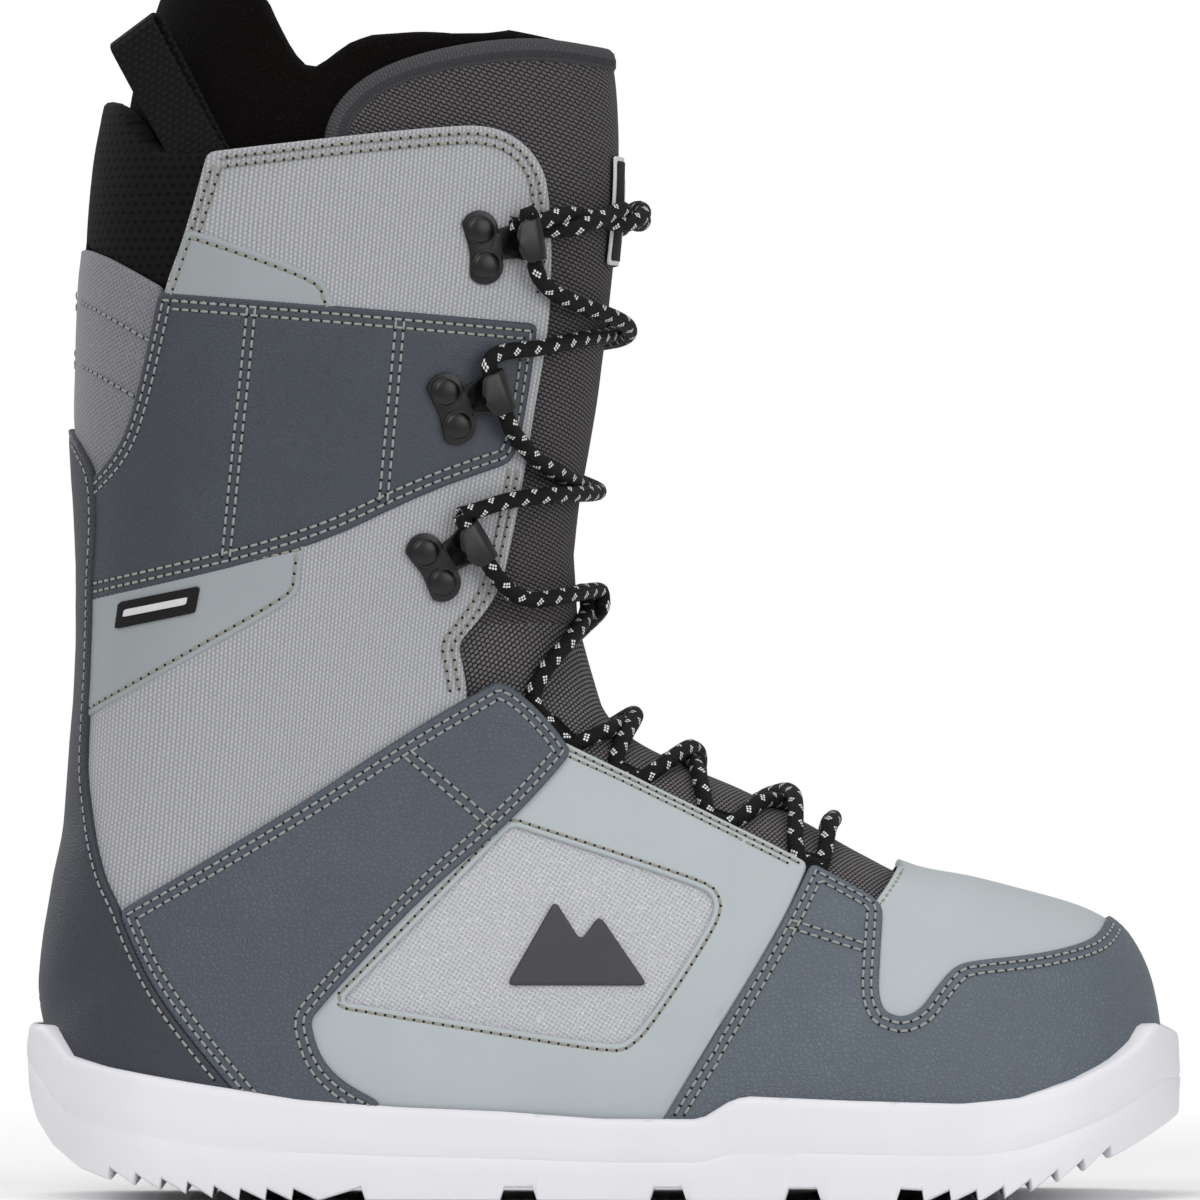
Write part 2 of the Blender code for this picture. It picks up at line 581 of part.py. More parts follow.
def make_hook(name, spot, base, holes):
    """A bent sheet hook: a plate under two rivets, a neck, and a lip folded back over the neck."""
    plate = [(-4.6, -7.0), (-2.6, -9.6), (2.6, -9.6), (4.8, -6.6), (HOOK_REACH, -5.4), (HOOK_REACH, 5.4)]
    plate += [(4.8, 6.6), (2.6, 9.6), (-2.6, 9.6), (-4.6, 7.0)]
    hook = extruded(name, spot.flat, plate, base, base + HOOK_PLATE, order="abn")
    middle = base + HOOK_BEND
    fold = arc(HOOK_REACH, middle, HOOK_BEND, -90, 90, 6) + [(8.3, middle + HOOK_BEND + 0.5)]
    fold += [(8.3, middle + HOOK_BEND + 0.5 - HOOK_PLATE)]
    fold += arc(HOOK_REACH, middle, HOOK_BEND - HOOK_PLATE, 90, -90, 6)
    fold += [(HOOK_REACH - 4, base + HOOK_PLATE), (HOOK_REACH - 4, base)]
    lip = extruded(name + ".lip", spot.flat, fold, -5.75, 5.75, helper=True)
    return combine(combine(hook, lip, "UNION"), holes, "DIFFERENCE")


def make_rivets(name, spot, base):
    """Two rivets and the back plate that holds them: dome, shank, plate."""
    plate = [(-3.6, -6.5), (-1.8, -8.6), (1.8, -8.6), (3.6, -6.5), (3.6, 6.5), (1.8, 8.6), (-1.8, 8.6), (-3.6, 6.5)]
    body = extruded(name, spot.flat, plate, -5.6, -4.6, order="abn")
    top = base + HOOK_PLATE + 0.3
    shanks = cylinders(name + ".shanks", [spot.flat], SHANK, -5.1, top + 0.5, RIVET_SPREAD)
    heads = cylinders(name + ".heads", [spot.flat], 3.6, top, top + 1.3, RIVET_SPREAD)
    return combine(combine(body, shanks, "UNION"), heads, "UNION")


def make_loop(name, spot):
    """A webbing loop: a tail sewn under the edge and a ring for the lace."""
    a, n = LOOP_RING
    tail = [(a - LOOP_OUTSIDE - 0.2, LOOP_TAIL[1]), (-6.0, LOOP_TAIL[1]), (-6.0, LOOP_TAIL[0]), (a - 1.5, LOOP_TAIL[0])]
    loop = extruded(name, spot.bent, tail + arc(a, n, LOOP_OUTSIDE, -70, 180, 9), -4.5, 4.5)
    eye = arc(a, n, LOOP_INSIDE, 0, 330, 11)
    hole = extruded(name + ".eye", spot.bent, eye, -6, 6, helper=True)
    return combine(loop, hole, "DIFFERENCE")


LOOP_STOPS = [("loop", 0), ("loop", 1), ("loop", 2), ("loop", 3)]
HOOK_STOPS = [("hook", 2), ("hook", 1), ("hook", 0)]
OVER, UNDER = 8.2, 3.4


def passage(kind, level, side):
    """The short straight run of the lace through a loop or a hook, from its toe end to its top end."""
    if kind == "loop":
        a, n = LOOP_RING
        return [LOOP_SPOTS[side][level].bent(a, b, n) for b in (-8.5, 0.0, 8.5)]
    middle = HOOK_BASE[level] + HOOK_BEND
    return [HOOK_SPOTS[side][level].flat(HOOK_REACH, b, middle) for b in (-9.5, 0.0, 9.5)]


def over_tongue(place, lift):
    """The point of the skin nearest to a place, raised by lift."""
    rows, turns = np.meshgrid(np.linspace(7, 26, 190), np.linspace(-0.6, 0.6, 97), indexing="ij")
    away = np.linalg.norm(skin_point(rows, turns) - place, axis=-1)
    at = np.unravel_index(away.argmin(), away.shape)
    return lifted(rows[at], turns[at], lift)


def crossing(start, end, lift):
    """Points over the tongue between two stops."""
    shares = ((0.14, 0.3 * lift + 5.2), (0.3, 0.3 * lift + 5.2), (0.5, lift))
    shares += ((0.7, 0.3 * lift + 5.2), (0.86, 0.3 * lift + 5.2))
    return [over_tongue(start + (end - start) * share, rise) for share, rise in shares]


def lace_run(stops, side, lift, start=()):
    """The lace up through the stops, changing sides at every one."""
    points = list(start)
    for kind, level in stops:
        stop = passage(kind, level, side)
        if points:
            points += crossing(points[-1], stop[0], lift)
        points += stop
        side = -side
    return points


def just_after(points, gap=3.4):
    """A start for the next stretch of lace, a little past the end of this one."""
    ahead = points[-1] - points[-2]
    return [points[-1] + gap * ahead / np.linalg.norm(ahead)]


def make_lace():
    """Two stretches: over the foot, joined by the toe bar, and up the shaft, joined by the top bar."""
    over_low = lace_run(LOOP_STOPS, OUTER, OVER)
    under_low = lace_run(LOOP_STOPS, INNER, UNDER)
    toe_bar = [over_tongue(np.array([61.0, y, 101.0]), 1.4) for y in (14, 0, -14)]
    tube("lace_lower", rounded_path(under_low[::-1] + toe_bar + over_low), LACE_RADIUS)
    over_high = lace_run(HOOK_STOPS, OUTER, OVER, just_after(over_low))
    under_high = lace_run(HOOK_STOPS, INNER, UNDER, just_after(under_low))
    top_bar = [over_tongue(np.array([0.0, y, 270.0]), 3.4) for y in (-24, -12, 0, 12, 24)]
    tube("lace_upper", rounded_path(over_high + top_bar + under_high[::-1]), LACE_RADIUS)


# ---------------------------------------------------------------- build

for left_over in list(bpy.data.objects):
    bpy.data.objects.remove(left_over)
BOOT = collection("snowboard_boot")
HELPERS = collection("cutters")
SIDES = (("lateral", OUTER), ("medial", INNER))

HOOK_SPOTS = {side: [Spot(x, z, side) for x, z in HOOK_PLACES] for _, side in SIDES}
LOOP_SPOTS = {side: [Spot(x, z, side) for x, z in LOOP_PLACES] for _, side in SIDES}
RIVET_HOLES = {
    side: cylinders(f"rivet_holes_{word}", [spot.flat for spot in HOOK_SPOTS[side]], HOLE, -9, 12, RIVET_SPREAD)
    for word, side in SIDES
}

# Sole, board and footbed
make_outsole()
floor_plate("lasting_board", 0.6, 2.6, 3.0, (-112, 128))

# Foot shell
panel("vamp", VAMP, BASE)
panel("toe_cap", TOE_CAP, OVERLAY)
panel("heel_counter", [(-97, 60), (-97, 24), (-170, 24), (-170, 60)], BACKING, first_row=13)
panel("backstay", BACKSTAY, OVERLAY, first_row=13)
for quarter in both_sides(panel, "quarter", QUARTER, BASE):
    opening = prism(quarter.name + ".window", WINDOW, -130, 130)
    combine(quarter, opening, "DIFFERENCE")
both_sides(panel, "window", inset(WINDOW, -3.5), BACKING)
both_sides(panel, "emblem", EMBLEM, (-1.7, -0.1))
both_sides(panel, "ankle_strap", STRAP, OVERLAY)

# Cuff shell
for word, side in SIDES:
    combine(panel(f"cuff_{word}", CUFF, CUFF_FABRIC, side), RIVET_HOLES[side], "DIFFERENCE")
    combine(panel(f"cuff_band_{word}", BAND, CUFF_OVERLAY, side), RIVET_HOLES[side], "DIFFERENCE")
both_sides(panel, "upper_patch", UPPER_PATCH, CUFF_OVERLAY)
both_sides(panel, "lower_patch", LOWER_PATCH, CUFF_OVERLAY)
panel("rear_flex_panel", REAR_FLEX, CUFF_FABRIC, first_row=17)
panel("rear_collar", COLLAR, (-6.0, -0.6), first_row=19)
panel("side_label", [(-130, 161), (-108, 165), (-109.5, 157), (-131, 153)], (0.6, 1.4), OUTER)

# Tongue
low_front, high_front = ray(WEDGE_LOW, 110), ray(WEDGE_HIGH, 110)
TONGUE_LOWER = [ray(WEDGE_LOW, 42), (-20, 113), (44, 82), (62, 76), (89, 76), (89, 120), low_front]
panel("tongue_lower", TONGUE_LOWER, TONGUE_UNDER_LACE, first_row=5)
FLEX = [ray(WEDGE_LOW + 0.5, 48), ray(WEDGE_LOW + 0.5, 110), ray(WEDGE_HIGH - 0.5, 110), ray(WEDGE_HIGH - 0.5, 48)]
panel("tongue_flex_panel", FLEX, (-7.6, -4.8), first_row=9)
TONGUE_WIDE, TONGUE_NARROW = 62, 30.5


def tongue_piece(name, top, bottom, lifts=TONGUE):
    """A piece of the upper tongue: narrow between the cuff's edges, wide above them."""
    piece = shell(name, lifts, (-0.7, 0.7), first_row=12)
    side_view = inset(top + bottom, 0.0)
    combine(piece, prism(name + ".side", side_view, -130, 130), "INTERSECT")
    half = [(TONGUE_NARROW, 100), (TONGUE_NARROW, 290.2), (TONGUE_WIDE, 290.2), (TONGUE_WIDE, 330)]
    front_view = half + [(-y, z) for y, z in reversed(half)]
    return combine(piece, prism(name + ".front", front_view, -60, 130, view="front"), "INTERSECT")


dropped = [(x, z - BINDING_DROP) for x, z in TONGUE_TOP]
just_above = [(x, z - BINDING_DROP + 0.5) for x, z in TONGUE_TOP]
tongue_foot = [(-73.0, 291.0), (-40.0, 200.0), ray(WEDGE_HIGH + 0.5, 46), ray(WEDGE_HIGH + 0.5, 110)]
tongue_piece("tongue_upper", dropped, tongue_foot)
tongue_piece("tongue_binding", TONGUE_TOP, just_above[::-1])
label = shell("tongue_label", (-4.0, -3.0), (-0.5, 0.5), first_row=20)
label_outline = [(-17, 252), (17, 252), (17, 280), (-17, 280)]
combine(label, prism("tongue_label.cut", label_outline, -60, 0, view="front"), "INTERSECT")

# Liner
liner_solid = last_solid("liner_foot", LINER[1], helper=False)
hollow = last_solid("liner_hollow", LINER[0])
floor_line = [(x, floor_height(x) + 3.4) for x in (128, 110, 84, 50, 0, -40, -70, -100, -122)]
floor_line += [(-138, 33), (-150, 46), (-160, 60)]
foot_top = [(-160, 107.5), (ANKLE[0], 107.5), low_front, (170, 150), (170, 60)]
combine(liner_solid, prism("liner_foot.cut", floor_line + foot_top, -130, 130), "INTERSECT")
raised_floor = [(x, z + 4.6) for x, z in floor_line[:-3]] + [(-133, 38), (-140, 50), (-150, 66)]
combine(hollow, prism("liner_hollow.cut", raised_floor + [(-170, 400), (170, 400)], -130, 130), "INTERSECT")
combine(liner_solid, hollow, "DIFFERENCE")

liner_shaft = shell("liner_shaft", LINER, first_row=9)
shaft_bottom = [(-170, 108.5), (ANKLE[0] - 0.4, 108.5), high_front, (60, 250)]
combine(liner_shaft, prism("liner_shaft.cut", LINER_RIM + [(-170, 334)] + shaft_bottom, -130, 130), "INTERSECT")
LINER_SLOT = 30.0
slot = [(-LINER_SLOT, 90), (LINER_SLOT, 90), (LINER_SLOT, 360), (-LINER_SLOT, 360)]
combine(liner_shaft, prism("liner_shaft.slot", slot, -60, 46, view="front"), "DIFFERENCE")
liner_tongue = shell("liner_tongue", (LINER[0], LINER[1] - 0.2), (-0.6, 0.6), first_row=12)
half_slot = [(-LINER_SLOT + 1, 90), (LINER_SLOT - 1, 90), (LINER_SLOT - 1, 316), (-LINER_SLOT + 1, 316)]
combine(liner_tongue, prism("liner_tongue.front", half_slot, -60, 41, view="front"), "INTERSECT")
tongue_side = [ray(WEDGE_HIGH + 0.6, 44), ray(WEDGE_HIGH + 0.6, 110), (60, 330), (-60, 330), (-46, 200)]
combine(liner_tongue, prism("liner_tongue.side", tongue_side, -130, 130), "INTERSECT")
liner_flex = panel("liner_flex_panel", FLEX, (-12.6, -10.4), first_row=9)
floor_plate("footbed", 8.6, 12.6, 17.0, (-104, 112))

# Lacing
for word, side in SIDES:
    for level, spot in enumerate(HOOK_SPOTS[side]):
        base = HOOK_BASE[level]
        make_hook(f"hook_{word}_{level + 1}", spot, base, RIVET_HOLES[side])
        make_rivets(f"hook_rivets_{word}_{level + 1}", spot, base)
    for level, spot in enumerate(LOOP_SPOTS[side]):
        make_loop(f"lace_loop_{word}_{level + 1}", spot)
make_lace()

# Pull loop at the back of the shaft, leaning rearward
pull = Spot(-113.0, 284.5, OUTER)
PULL_LEAN = math.radians(30)
PULL_BASE = 8.0


def leaning(a, b, n):
    """A point of the pull loop: the flat plane of its Spot, turned rearward by the lean."""
    across = a * math.cos(PULL_LEAN) - b * math.sin(PULL_LEAN)
    upward = a * math.sin(PULL_LEAN) + b * math.cos(PULL_LEAN)
    return pull.flat(across, upward, n)


strap_loop = [(-8.4, PULL_BASE), (-6.6, PULL_BASE)] + arc(-5.5, 34.0, 1.1, 180, 0, 4)
strap_loop += [(-4.4, PULL_BASE), (-2.6, PULL_BASE)] + arc(-5.5, 34.0, 2.9, 0, 180, 6)
extruded("pull_loop", leaning, strap_loop, -7.6, 7.6, order="nba")

# ---------------------------------------------------------------- materials

# Colour, roughness and metallic value of each material, and the start of the names of the pieces it covers.
MATERIALS = {
    "sole_rubber": ((0.80, 0.80, 0.83), 0.5, 0.0, ("outsole",)),
    "toe_leather": ((0.14, 0.16, 0.19), 0.5, 0.0, ("toe_cap",)),
    "slate_leather": ((0.09, 0.11, 0.13), 0.5, 0.0, ("backstay", "ankle_strap", "cuff_band")),
    "light_leather": ((0.41, 0.45, 0.47), 0.52, 0.0, ("vamp", "quarter", "upper_patch", "lower_patch")),
    "dashed_canvas": ((0.36, 0.36, 0.38), 0.85, 0.0, ("cuff_lateral", "cuff_medial")),
    "fine_weave": ((0.43, 0.43, 0.46), 0.85, 0.0, ("window", "rear_flex_panel")),
    "ribbed_knit": ((0.12, 0.11, 0.12), 0.8, 0.0, ("tongue_upper", "tongue_lower", "tongue_flex_panel")),
    "black_webbing": ((0.01, 0.01, 0.01), 0.75, 0.0, ("lace_loop", "pull_loop", "side_label", "tongue_")),
    "collar_mesh": ((0.015, 0.014, 0.014), 0.75, 0.0, ("rear_collar",)),
    "badge_rubber": ((0.05, 0.05, 0.05), 0.55, 0.0, ("emblem",)),
    "painted_steel": ((0.01, 0.01, 0.01), 0.3, 0.6, ("hook",)),
    "lace_cord": ((0.01, 0.01, 0.01), 0.6, 0.0, ("lace_lower", "lace_upper")),
    "liner_foam": ((0.008, 0.007, 0.007), 0.95, 0.0, ("liner", "footbed")),
    "board_fibre": ((0.05, 0.04, 0.04), 0.85, 0.0, ("lasting_board", "heel_counter")),
}


def finish_with(material_name, colour, roughness, metallic, starts):
    """Gives one material to every piece whose name starts this way and that has none yet."""
    material = bpy.data.materials.new(material_name)
    material.use_nodes = True
    shader = material.node_tree.nodes["Principled BSDF"]
    shader.inputs["Base Color"].default_value = (*colour, 1.0)
    shader.inputs["Roughness"].default_value = roughness
    shader.inputs["Metallic"].default_value = metallic
    for piece in BOOT.objects:
        if piece.name.startswith(starts) and not piece.data.materials:
            piece.data.materials.append(material)


for material_name, values in MATERIALS.items():
    finish_with(material_name, *values)
for piece in BOOT.objects:
    piece.data.shade_smooth()
    piece.data.set_sharp_from_angle(angle=math.radians(35))

# ---------------------------------------------------------------- joint axes

TONGUE_AXIS = (5.0, 0.0, 150.0)
PULL_AXIS = tuple(leaning(0.0, PULL_BASE, -5.5))
CUFF_STARTS = ("cuff_", "upper_patch", "lower_patch", "hook_", "lace_upper", "rear_", "side_label", "liner_shaft")
MOVING = {
    "cuff_axis": ((ANKLE[0], 0.0, ANKLE[1]), CUFF_STARTS),
    "tongue_axis": (TONGUE_AXIS, ("tongue_upper", "tongue_binding", "tongue_label")),
    "liner_tongue_axis": (TONGUE_AXIS, ("liner_tongue",)),
    "pull_loop_axis": (PULL_AXIS, ("pull_loop",)),
}


def hang_on_axis(name, place, starts):
    """Parents the pieces that turn together to an empty on their joint's axis."""
    axis = bpy.data.objects.new(name, None)
    axis.location = np.array(place) * MM
    pieces = [piece for piece in BOOT.objects if piece.name.startswith(starts)]
    BOOT.objects.link(axis)
    for piece in pieces:
        piece.parent = axis
        piece.matrix_parent_inverse = Matrix.Translation(-axis.location)
    return axis


axes = {name: hang_on_axis(name, *values) for name, values in MOVING.items()}
for name in ("tongue_axis", "liner_tongue_axis", "pull_loop_axis"):
    axes[name].parent = axes["cuff_axis"]
    axes[name].matrix_parent_inverse = Matrix.Translation(-axes["cuff_axis"].location)
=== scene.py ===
"""Looks of the snowboard boot: stitched leather, woven fabric, lace and hooks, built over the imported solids.

Every piece of the upper lies on one skin, the same one the solids were cut from. A point of the skin has a
row number u, from the toe tip over the foot and up the shaft, and a turn t: 0 on the front centre line, -1 at
the sole edge or the back on the outer (lateral) side and +1 on the inner side. Sizes are millimetres until a
mesh is made.
"""

import math
import random

import bmesh
import bpy
import numpy as np
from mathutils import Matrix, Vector
from mathutils.geometry import delaunay_2d_cdt
from mathutils.kdtree import KDTree


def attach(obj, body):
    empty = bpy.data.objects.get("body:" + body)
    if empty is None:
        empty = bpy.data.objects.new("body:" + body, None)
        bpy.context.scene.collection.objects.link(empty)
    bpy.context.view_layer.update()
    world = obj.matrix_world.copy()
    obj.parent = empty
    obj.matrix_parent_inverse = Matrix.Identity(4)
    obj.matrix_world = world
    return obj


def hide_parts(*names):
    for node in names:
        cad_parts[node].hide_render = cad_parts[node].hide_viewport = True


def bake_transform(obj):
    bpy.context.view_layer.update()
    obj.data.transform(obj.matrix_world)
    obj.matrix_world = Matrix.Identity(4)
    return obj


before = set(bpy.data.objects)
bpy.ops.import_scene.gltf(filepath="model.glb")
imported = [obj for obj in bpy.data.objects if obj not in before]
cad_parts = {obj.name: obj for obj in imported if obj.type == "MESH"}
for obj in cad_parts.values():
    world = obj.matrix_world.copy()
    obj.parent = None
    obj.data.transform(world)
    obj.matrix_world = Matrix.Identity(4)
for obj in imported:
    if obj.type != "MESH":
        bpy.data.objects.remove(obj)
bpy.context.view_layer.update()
MM = 0.001
random.seed(7)

# ---------------------------------------------------------------- the skin

# One slice of the boot per row: front x, z, then back x, z, half width, and half width at the lower edge.
SECTIONS = np.array(
    [
        (150.3, 44.0, 150.3, 44.0, 0.0, 0.0),
        (149.4, 51.0, 149.6, 36.0, 11.5, 11.5),
        (147.2, 59.5, 147.5, 31.5, 20.5, 20.5),
        (143.5, 67.2, 144.0, 28.0, 27.2, 27.2),
        (138.5, 73.2, 139.0, 25.0, 35.2, 35.2),
        (130.0, 77.9, 130.0, 22.0, 44.0, 44.0),
        (116.0, 82.0, 116.0, 19.5, 50.6, 50.6),
        (100.0, 86.0, 100.0, 18.0, 53.5, 53.5),
        (84.0, 89.6, 84.0, 18.0, 53.0, 53.0),
        (70.0, 96.5, 68.0, 18.0, 51.6, 51.6),
        (54.0, 105.6, 50.0, 18.0, 49.2, 49.2),
        (38.0, 113.6, 28.0, 17.0, 46.3, 46.3),
        (23.0, 119.8, 0.0, 16.0, 45.0, 42.0),
        (11.5, 125.8, -30.0, 16.0, 44.6, 40.0),
        (4.3, 132.5, -62.0, 17.0, 44.2, 39.0),
        (1.0, 141.0, -95.0, 20.0, 44.0, 38.5),
        (-1.4, 150.0, -122.0, 25.0, 44.0, 37.0),
        (-2.8, 157.5, -139.0, 31.0, 44.0, 28.5),
        (-3.4, 163.5, -148.3, 40.0, 44.2, 16.0),
        (-3.8, 170.0, -151.6, 52.0, 44.5, 0.0),
        (-3.6, 177.0, -151.4, 65.0, 44.5, 0.0),
        (-2.5, 187.0, -148.6, 84.0, 45.0, 0.0),
        (-0.5, 199.0, -145.0, 106.0, 46.0, 0.0),
        (3.5, 224.0, -142.0, 158.0, 48.5, 0.0),
        (6.4, 252.0, -144.0, 213.0, 51.5, 0.0),
        (8.1, 281.0, -142.0, 266.0, 53.0, 0.0),
        (6.4, 309.0, -135.0, 309.0, 52.0, 0.0),
        (1.0, 338.0, -124.0, 343.0, 50.0, 0.0),
    ]
)
LAST_ROW = len(SECTIONS) - 1
FRONT_BEND = 0.82
BACK_BEND = 0.12
TOE_SWING = 9.0
TURN_POWER = 1.2
SHAFT_MIDDLE = -68.0
OUTER, INNER = -1, 1


def section(u):
    """The slice at row number u, blended smoothly between the rows of SECTIONS."""
    u = np.clip(np.asarray(u, float), 0, LAST_ROW)
    low = np.minimum(u.astype(int), LAST_ROW - 1)
    s = (u - low)[..., None]
    before, start, stop, after = (SECTIONS[np.clip(low + k, 0, LAST_ROW)] for k in (-1, 0, 1, 2))
    return 0.5 * (
        2 * start
        + (stop - before) * s
        + (2 * before - 5 * start + 4 * stop - after) * s**2
        + (3 * start - before - 3 * stop + after) * s**3
    )


def skin_point(u, t):
    """A point of the skin. Turns beyond the back of the shaft come round to the other side."""
    u, t = np.broadcast_arrays(np.asarray(u, float), np.asarray(t, float))
    t = np.where(t < -1, t + 2, np.where(t > 1, t - 2, t))
    front_x, front_z, back_x, back_z, width, edge = np.moveaxis(section(u), -1, 0)
    width = np.maximum(width, 0.0)
    edge = np.clip(edge, 0.0, width)
    openness = np.where(width > 1e-6, edge / np.maximum(width, 1e-6), 1.0)
    end = math.pi - np.arcsin(openness)
    angle = np.abs(t) ** TURN_POWER * end
    across = (1 - np.cos(angle)) / (1 - np.cos(end))
    x = front_x + across * (back_x - front_x)
    z = front_z + across * (back_z - front_z)
    bend = FRONT_BEND + BACK_BEND * across * (1 - openness)
    y = np.sign(t) * width * np.abs(np.sin(angle)) ** bend
    y = y + TOE_SWING * (np.maximum(x - 30, 0) / 126) ** 2
    return np.stack([x, y, z], axis=-1)


def skin_slopes(u, t, step=2e-3):
    """How the skin point moves per unit of u and per unit of t."""
    u, t = np.broadcast_arrays(np.asarray(u, float), np.asarray(t, float))
    t = np.where(t < -1, t + 2, np.where(t > 1, t - 2, t))
    open_below = section(u)[..., 5] > 0.5
    u_high, u_low = np.minimum(u + step, LAST_ROW), np.maximum(u - step, 0)
    t_high = np.where(open_below & (t > 0), np.minimum(t + step, 1.0), t + step)
    t_low = np.where(open_below & (t < 0), np.maximum(t - step, -1.0), t - step)
    along = (skin_point(u_high, t) - skin_point(u_low, t)) / (u_high - u_low)[..., None]
    around = (skin_point(u, t_high) - skin_point(u, t_low)) / (t_high - t_low)[..., None]
    return along, around


def skin_normal(u, t):
    along, around = skin_slopes(u, t)
    normal = np.cross(around, along)
    length = np.linalg.norm(normal, axis=-1, keepdims=True)
    return np.where(length > 1e-2, normal / np.maximum(length, 1e-9), (1.0, 0.0, 0.0))


def ripple(place):
    """The small unevenness of hand-lasted material, the same for every layer."""
    x, y, z = place[..., 0], place[..., 1], place[..., 2]
    wide = np.sin(x / 11.0 + 1.7 * np.sin(z / 17.0)) * np.sin(z / 13.0 + y / 19.0)
    narrow = np.sin(x / 5.3 + z / 7.1 + 2.0) * np.sin(z / 4.7 - x / 9.0 + y / 6.0)
    return 0.22 * wide + 0.07 * narrow


def lifted(u, t, lift):
    """A point this far outside the skin."""
    base = skin_point(u, t)
    rise = np.asarray(lift) + ripple(base)
    return base + rise[..., None] * skin_normal(u, t)


GRID_U, GRID_T = np.meshgrid(np.linspace(0, LAST_ROW, 271), np.linspace(0, 1, 121), indexing="ij")
GRID_SEEN = skin_point(GRID_U, GRID_T)[..., (0, 2)].reshape(-1, 2)
GRID_TREE = KDTree(len(GRID_SEEN))
for number, (seen_x, seen_z) in enumerate(GRID_SEEN):
    GRID_TREE.insert((seen_x, seen_z, 0.0), number)
GRID_TREE.balance()


def step_to(u, t, miss, axes):
    """Least-squares step in (u, t) that moves the skin point by miss, looking only at some axes."""
    along, around = skin_slopes(u, t)
    a, b, c = along[..., axes], around[..., axes], miss
    aa, ab, bb = (a * a).sum(-1), (a * b).sum(-1), (b * b).sum(-1)
    ac, bc = (a * c).sum(-1), (b * c).sum(-1)
    det = np.maximum(aa * bb - ab * ab, 1e-6 * aa * bb + 1e-9)
    return (bb * ac - ab * bc) / det, (aa * bc - ab * ac) / det


def locate(points):
    """(u, t) of the lateral skin points seen at (x, z) places; one outside the outline goes to its edge."""
    points = np.asarray(points, float).reshape(-1, 2)
    nearest = [GRID_TREE.find((x, z, 0.0))[1] for x, z in points]
    u, t = GRID_U.ravel()[nearest], -GRID_T.ravel()[nearest]
    for _ in range(6):
        miss = points - skin_point(u, t)[..., (0, 2)]
        du, dt = step_to(u, t, miss, (0, 2))
        u = np.clip(u + np.clip(du, -0.4, 0.4), 0, LAST_ROW)
        t = np.clip(t + np.clip(dt, -0.04, 0.04), -1, 0)
    return u, t


def slide(u, t, direction, distance):
    """Moves over the skin by a distance along a 3-D direction."""
    target = skin_point(u, t) + direction * np.asarray(distance)[..., None]
    u, t = u.copy(), t.copy()
    for _ in range(3):
        du, dt = step_to(u, t, target - skin_point(u, t), (0, 1, 2))
        u = np.clip(u + du, 0, LAST_ROW)
        t = t + dt
    return u, t


# ---------------------------------------------------------------- outlines


def unit(vectors):
    return vectors / np.maximum(np.linalg.norm(vectors, axis=-1, keepdims=True), 1e-9)


def rounded(points, radius=2.0, closed=True, smooth_below=38.0):
    """The outline with round corners. Gentle corners are taken as points of a curve and smoothed fully."""
    points = np.array(points, float)
    count = len(points)
    made = []
    for k in range(count):
        here = points[k]
        if not closed and k in (0, count - 1):
            made.append(here)
            continue
        back, ahead = points[k - 1] - here, points[(k + 1) % count] - here
        back_length, ahead_length = np.linalg.norm(back), np.linalg.norm(ahead)
        cosine = -(back @ ahead) / (back_length * ahead_length)
        bend = math.degrees(math.acos(np.clip(cosine, -1, 1)))
        wanted = 1e9 if bend < smooth_below else radius
        start = here + back * min(wanted, 0.5 * back_length) / back_length
        stop = here + ahead * min(wanted, 0.5 * ahead_length) / ahead_length
        for s in np.linspace(0, 1, 7):
            made.append((1 - s) ** 2 * start + 2 * s * (1 - s) * here + s**2 * stop)
    return np.array(made)


def resampled(points, spacing, closed=True):
    points = np.asarray(points, float)
    if closed:
        points = np.concatenate([points, points[:1]])
    lengths = np.concatenate([[0], np.cumsum(np.linalg.norm(np.diff(points, axis=0), axis=1))])
    count = max(4, int(round(lengths[-1] / spacing)))
    at = np.linspace(0, lengths[-1], count + 1)
    even = np.stack([np.interp(at, lengths, points[:, k]) for k in range(points.shape[1])], axis=1)
    return even[:-1] if closed else even


def loop_on_skin(outline, side=OUTER, spacing=1.3, radius=2.0):
    """A closed side-view outline as a loop of (u, t) on one side of the boot."""
    u, t = locate(resampled(rounded(outline, radius), spacing))
    return np.stack([u, t if side == OUTER else -t], axis=1)


# ---------------------------------------------------------------- flat pieces laid on the skin

ROW_AT = np.linspace(0, LAST_ROW, 400)
ROW_LENGTH = np.concatenate(
    [[0], np.cumsum(np.linalg.norm(np.diff(skin_point(ROW_AT, np.full(400, -0.45)), axis=0), axis=1))]
)
GIRTH = 130.0


def chart(u, t):
    """Flat coordinates in which triangles keep roughly their true shape."""
    return np.stack([np.asarray(t) * GIRTH, np.interp(u, ROW_AT, ROW_LENGTH)], axis=-1)


def unchart(places):
    return np.interp(places[:, 1], ROW_LENGTH, ROW_AT), places[:, 0] / GIRTH


def inside(places, loop):
    """Which flat places lie inside a closed loop."""
    x, y = places[:, 0][:, None], places[:, 1][:, None]
    x1, y1 = loop[:, 0], loop[:, 1]
    x2, y2 = np.roll(x1, -1), np.roll(y1, -1)
    crosses = (y1 > y) != (y2 > y)
    rise = np.where(np.abs(y2 - y1) < 1e-12, 1e-12, y2 - y1)
    return ((crosses & (x < (x2 - x1) * (y - y1) / rise + x1)).sum(1) % 2).astype(bool)


def signed_area(loop):
    following = np.roll(loop, -1, axis=0)
    return 0.5 * np.sum(loop[:, 0] * following[:, 1] - following[:, 0] * loop[:, 1])


def tree_of(points):
    tree = KDTree(len(points))
    for k, point in enumerate(points):
        tree.insert(point, k)
    tree.balance()
    return tree


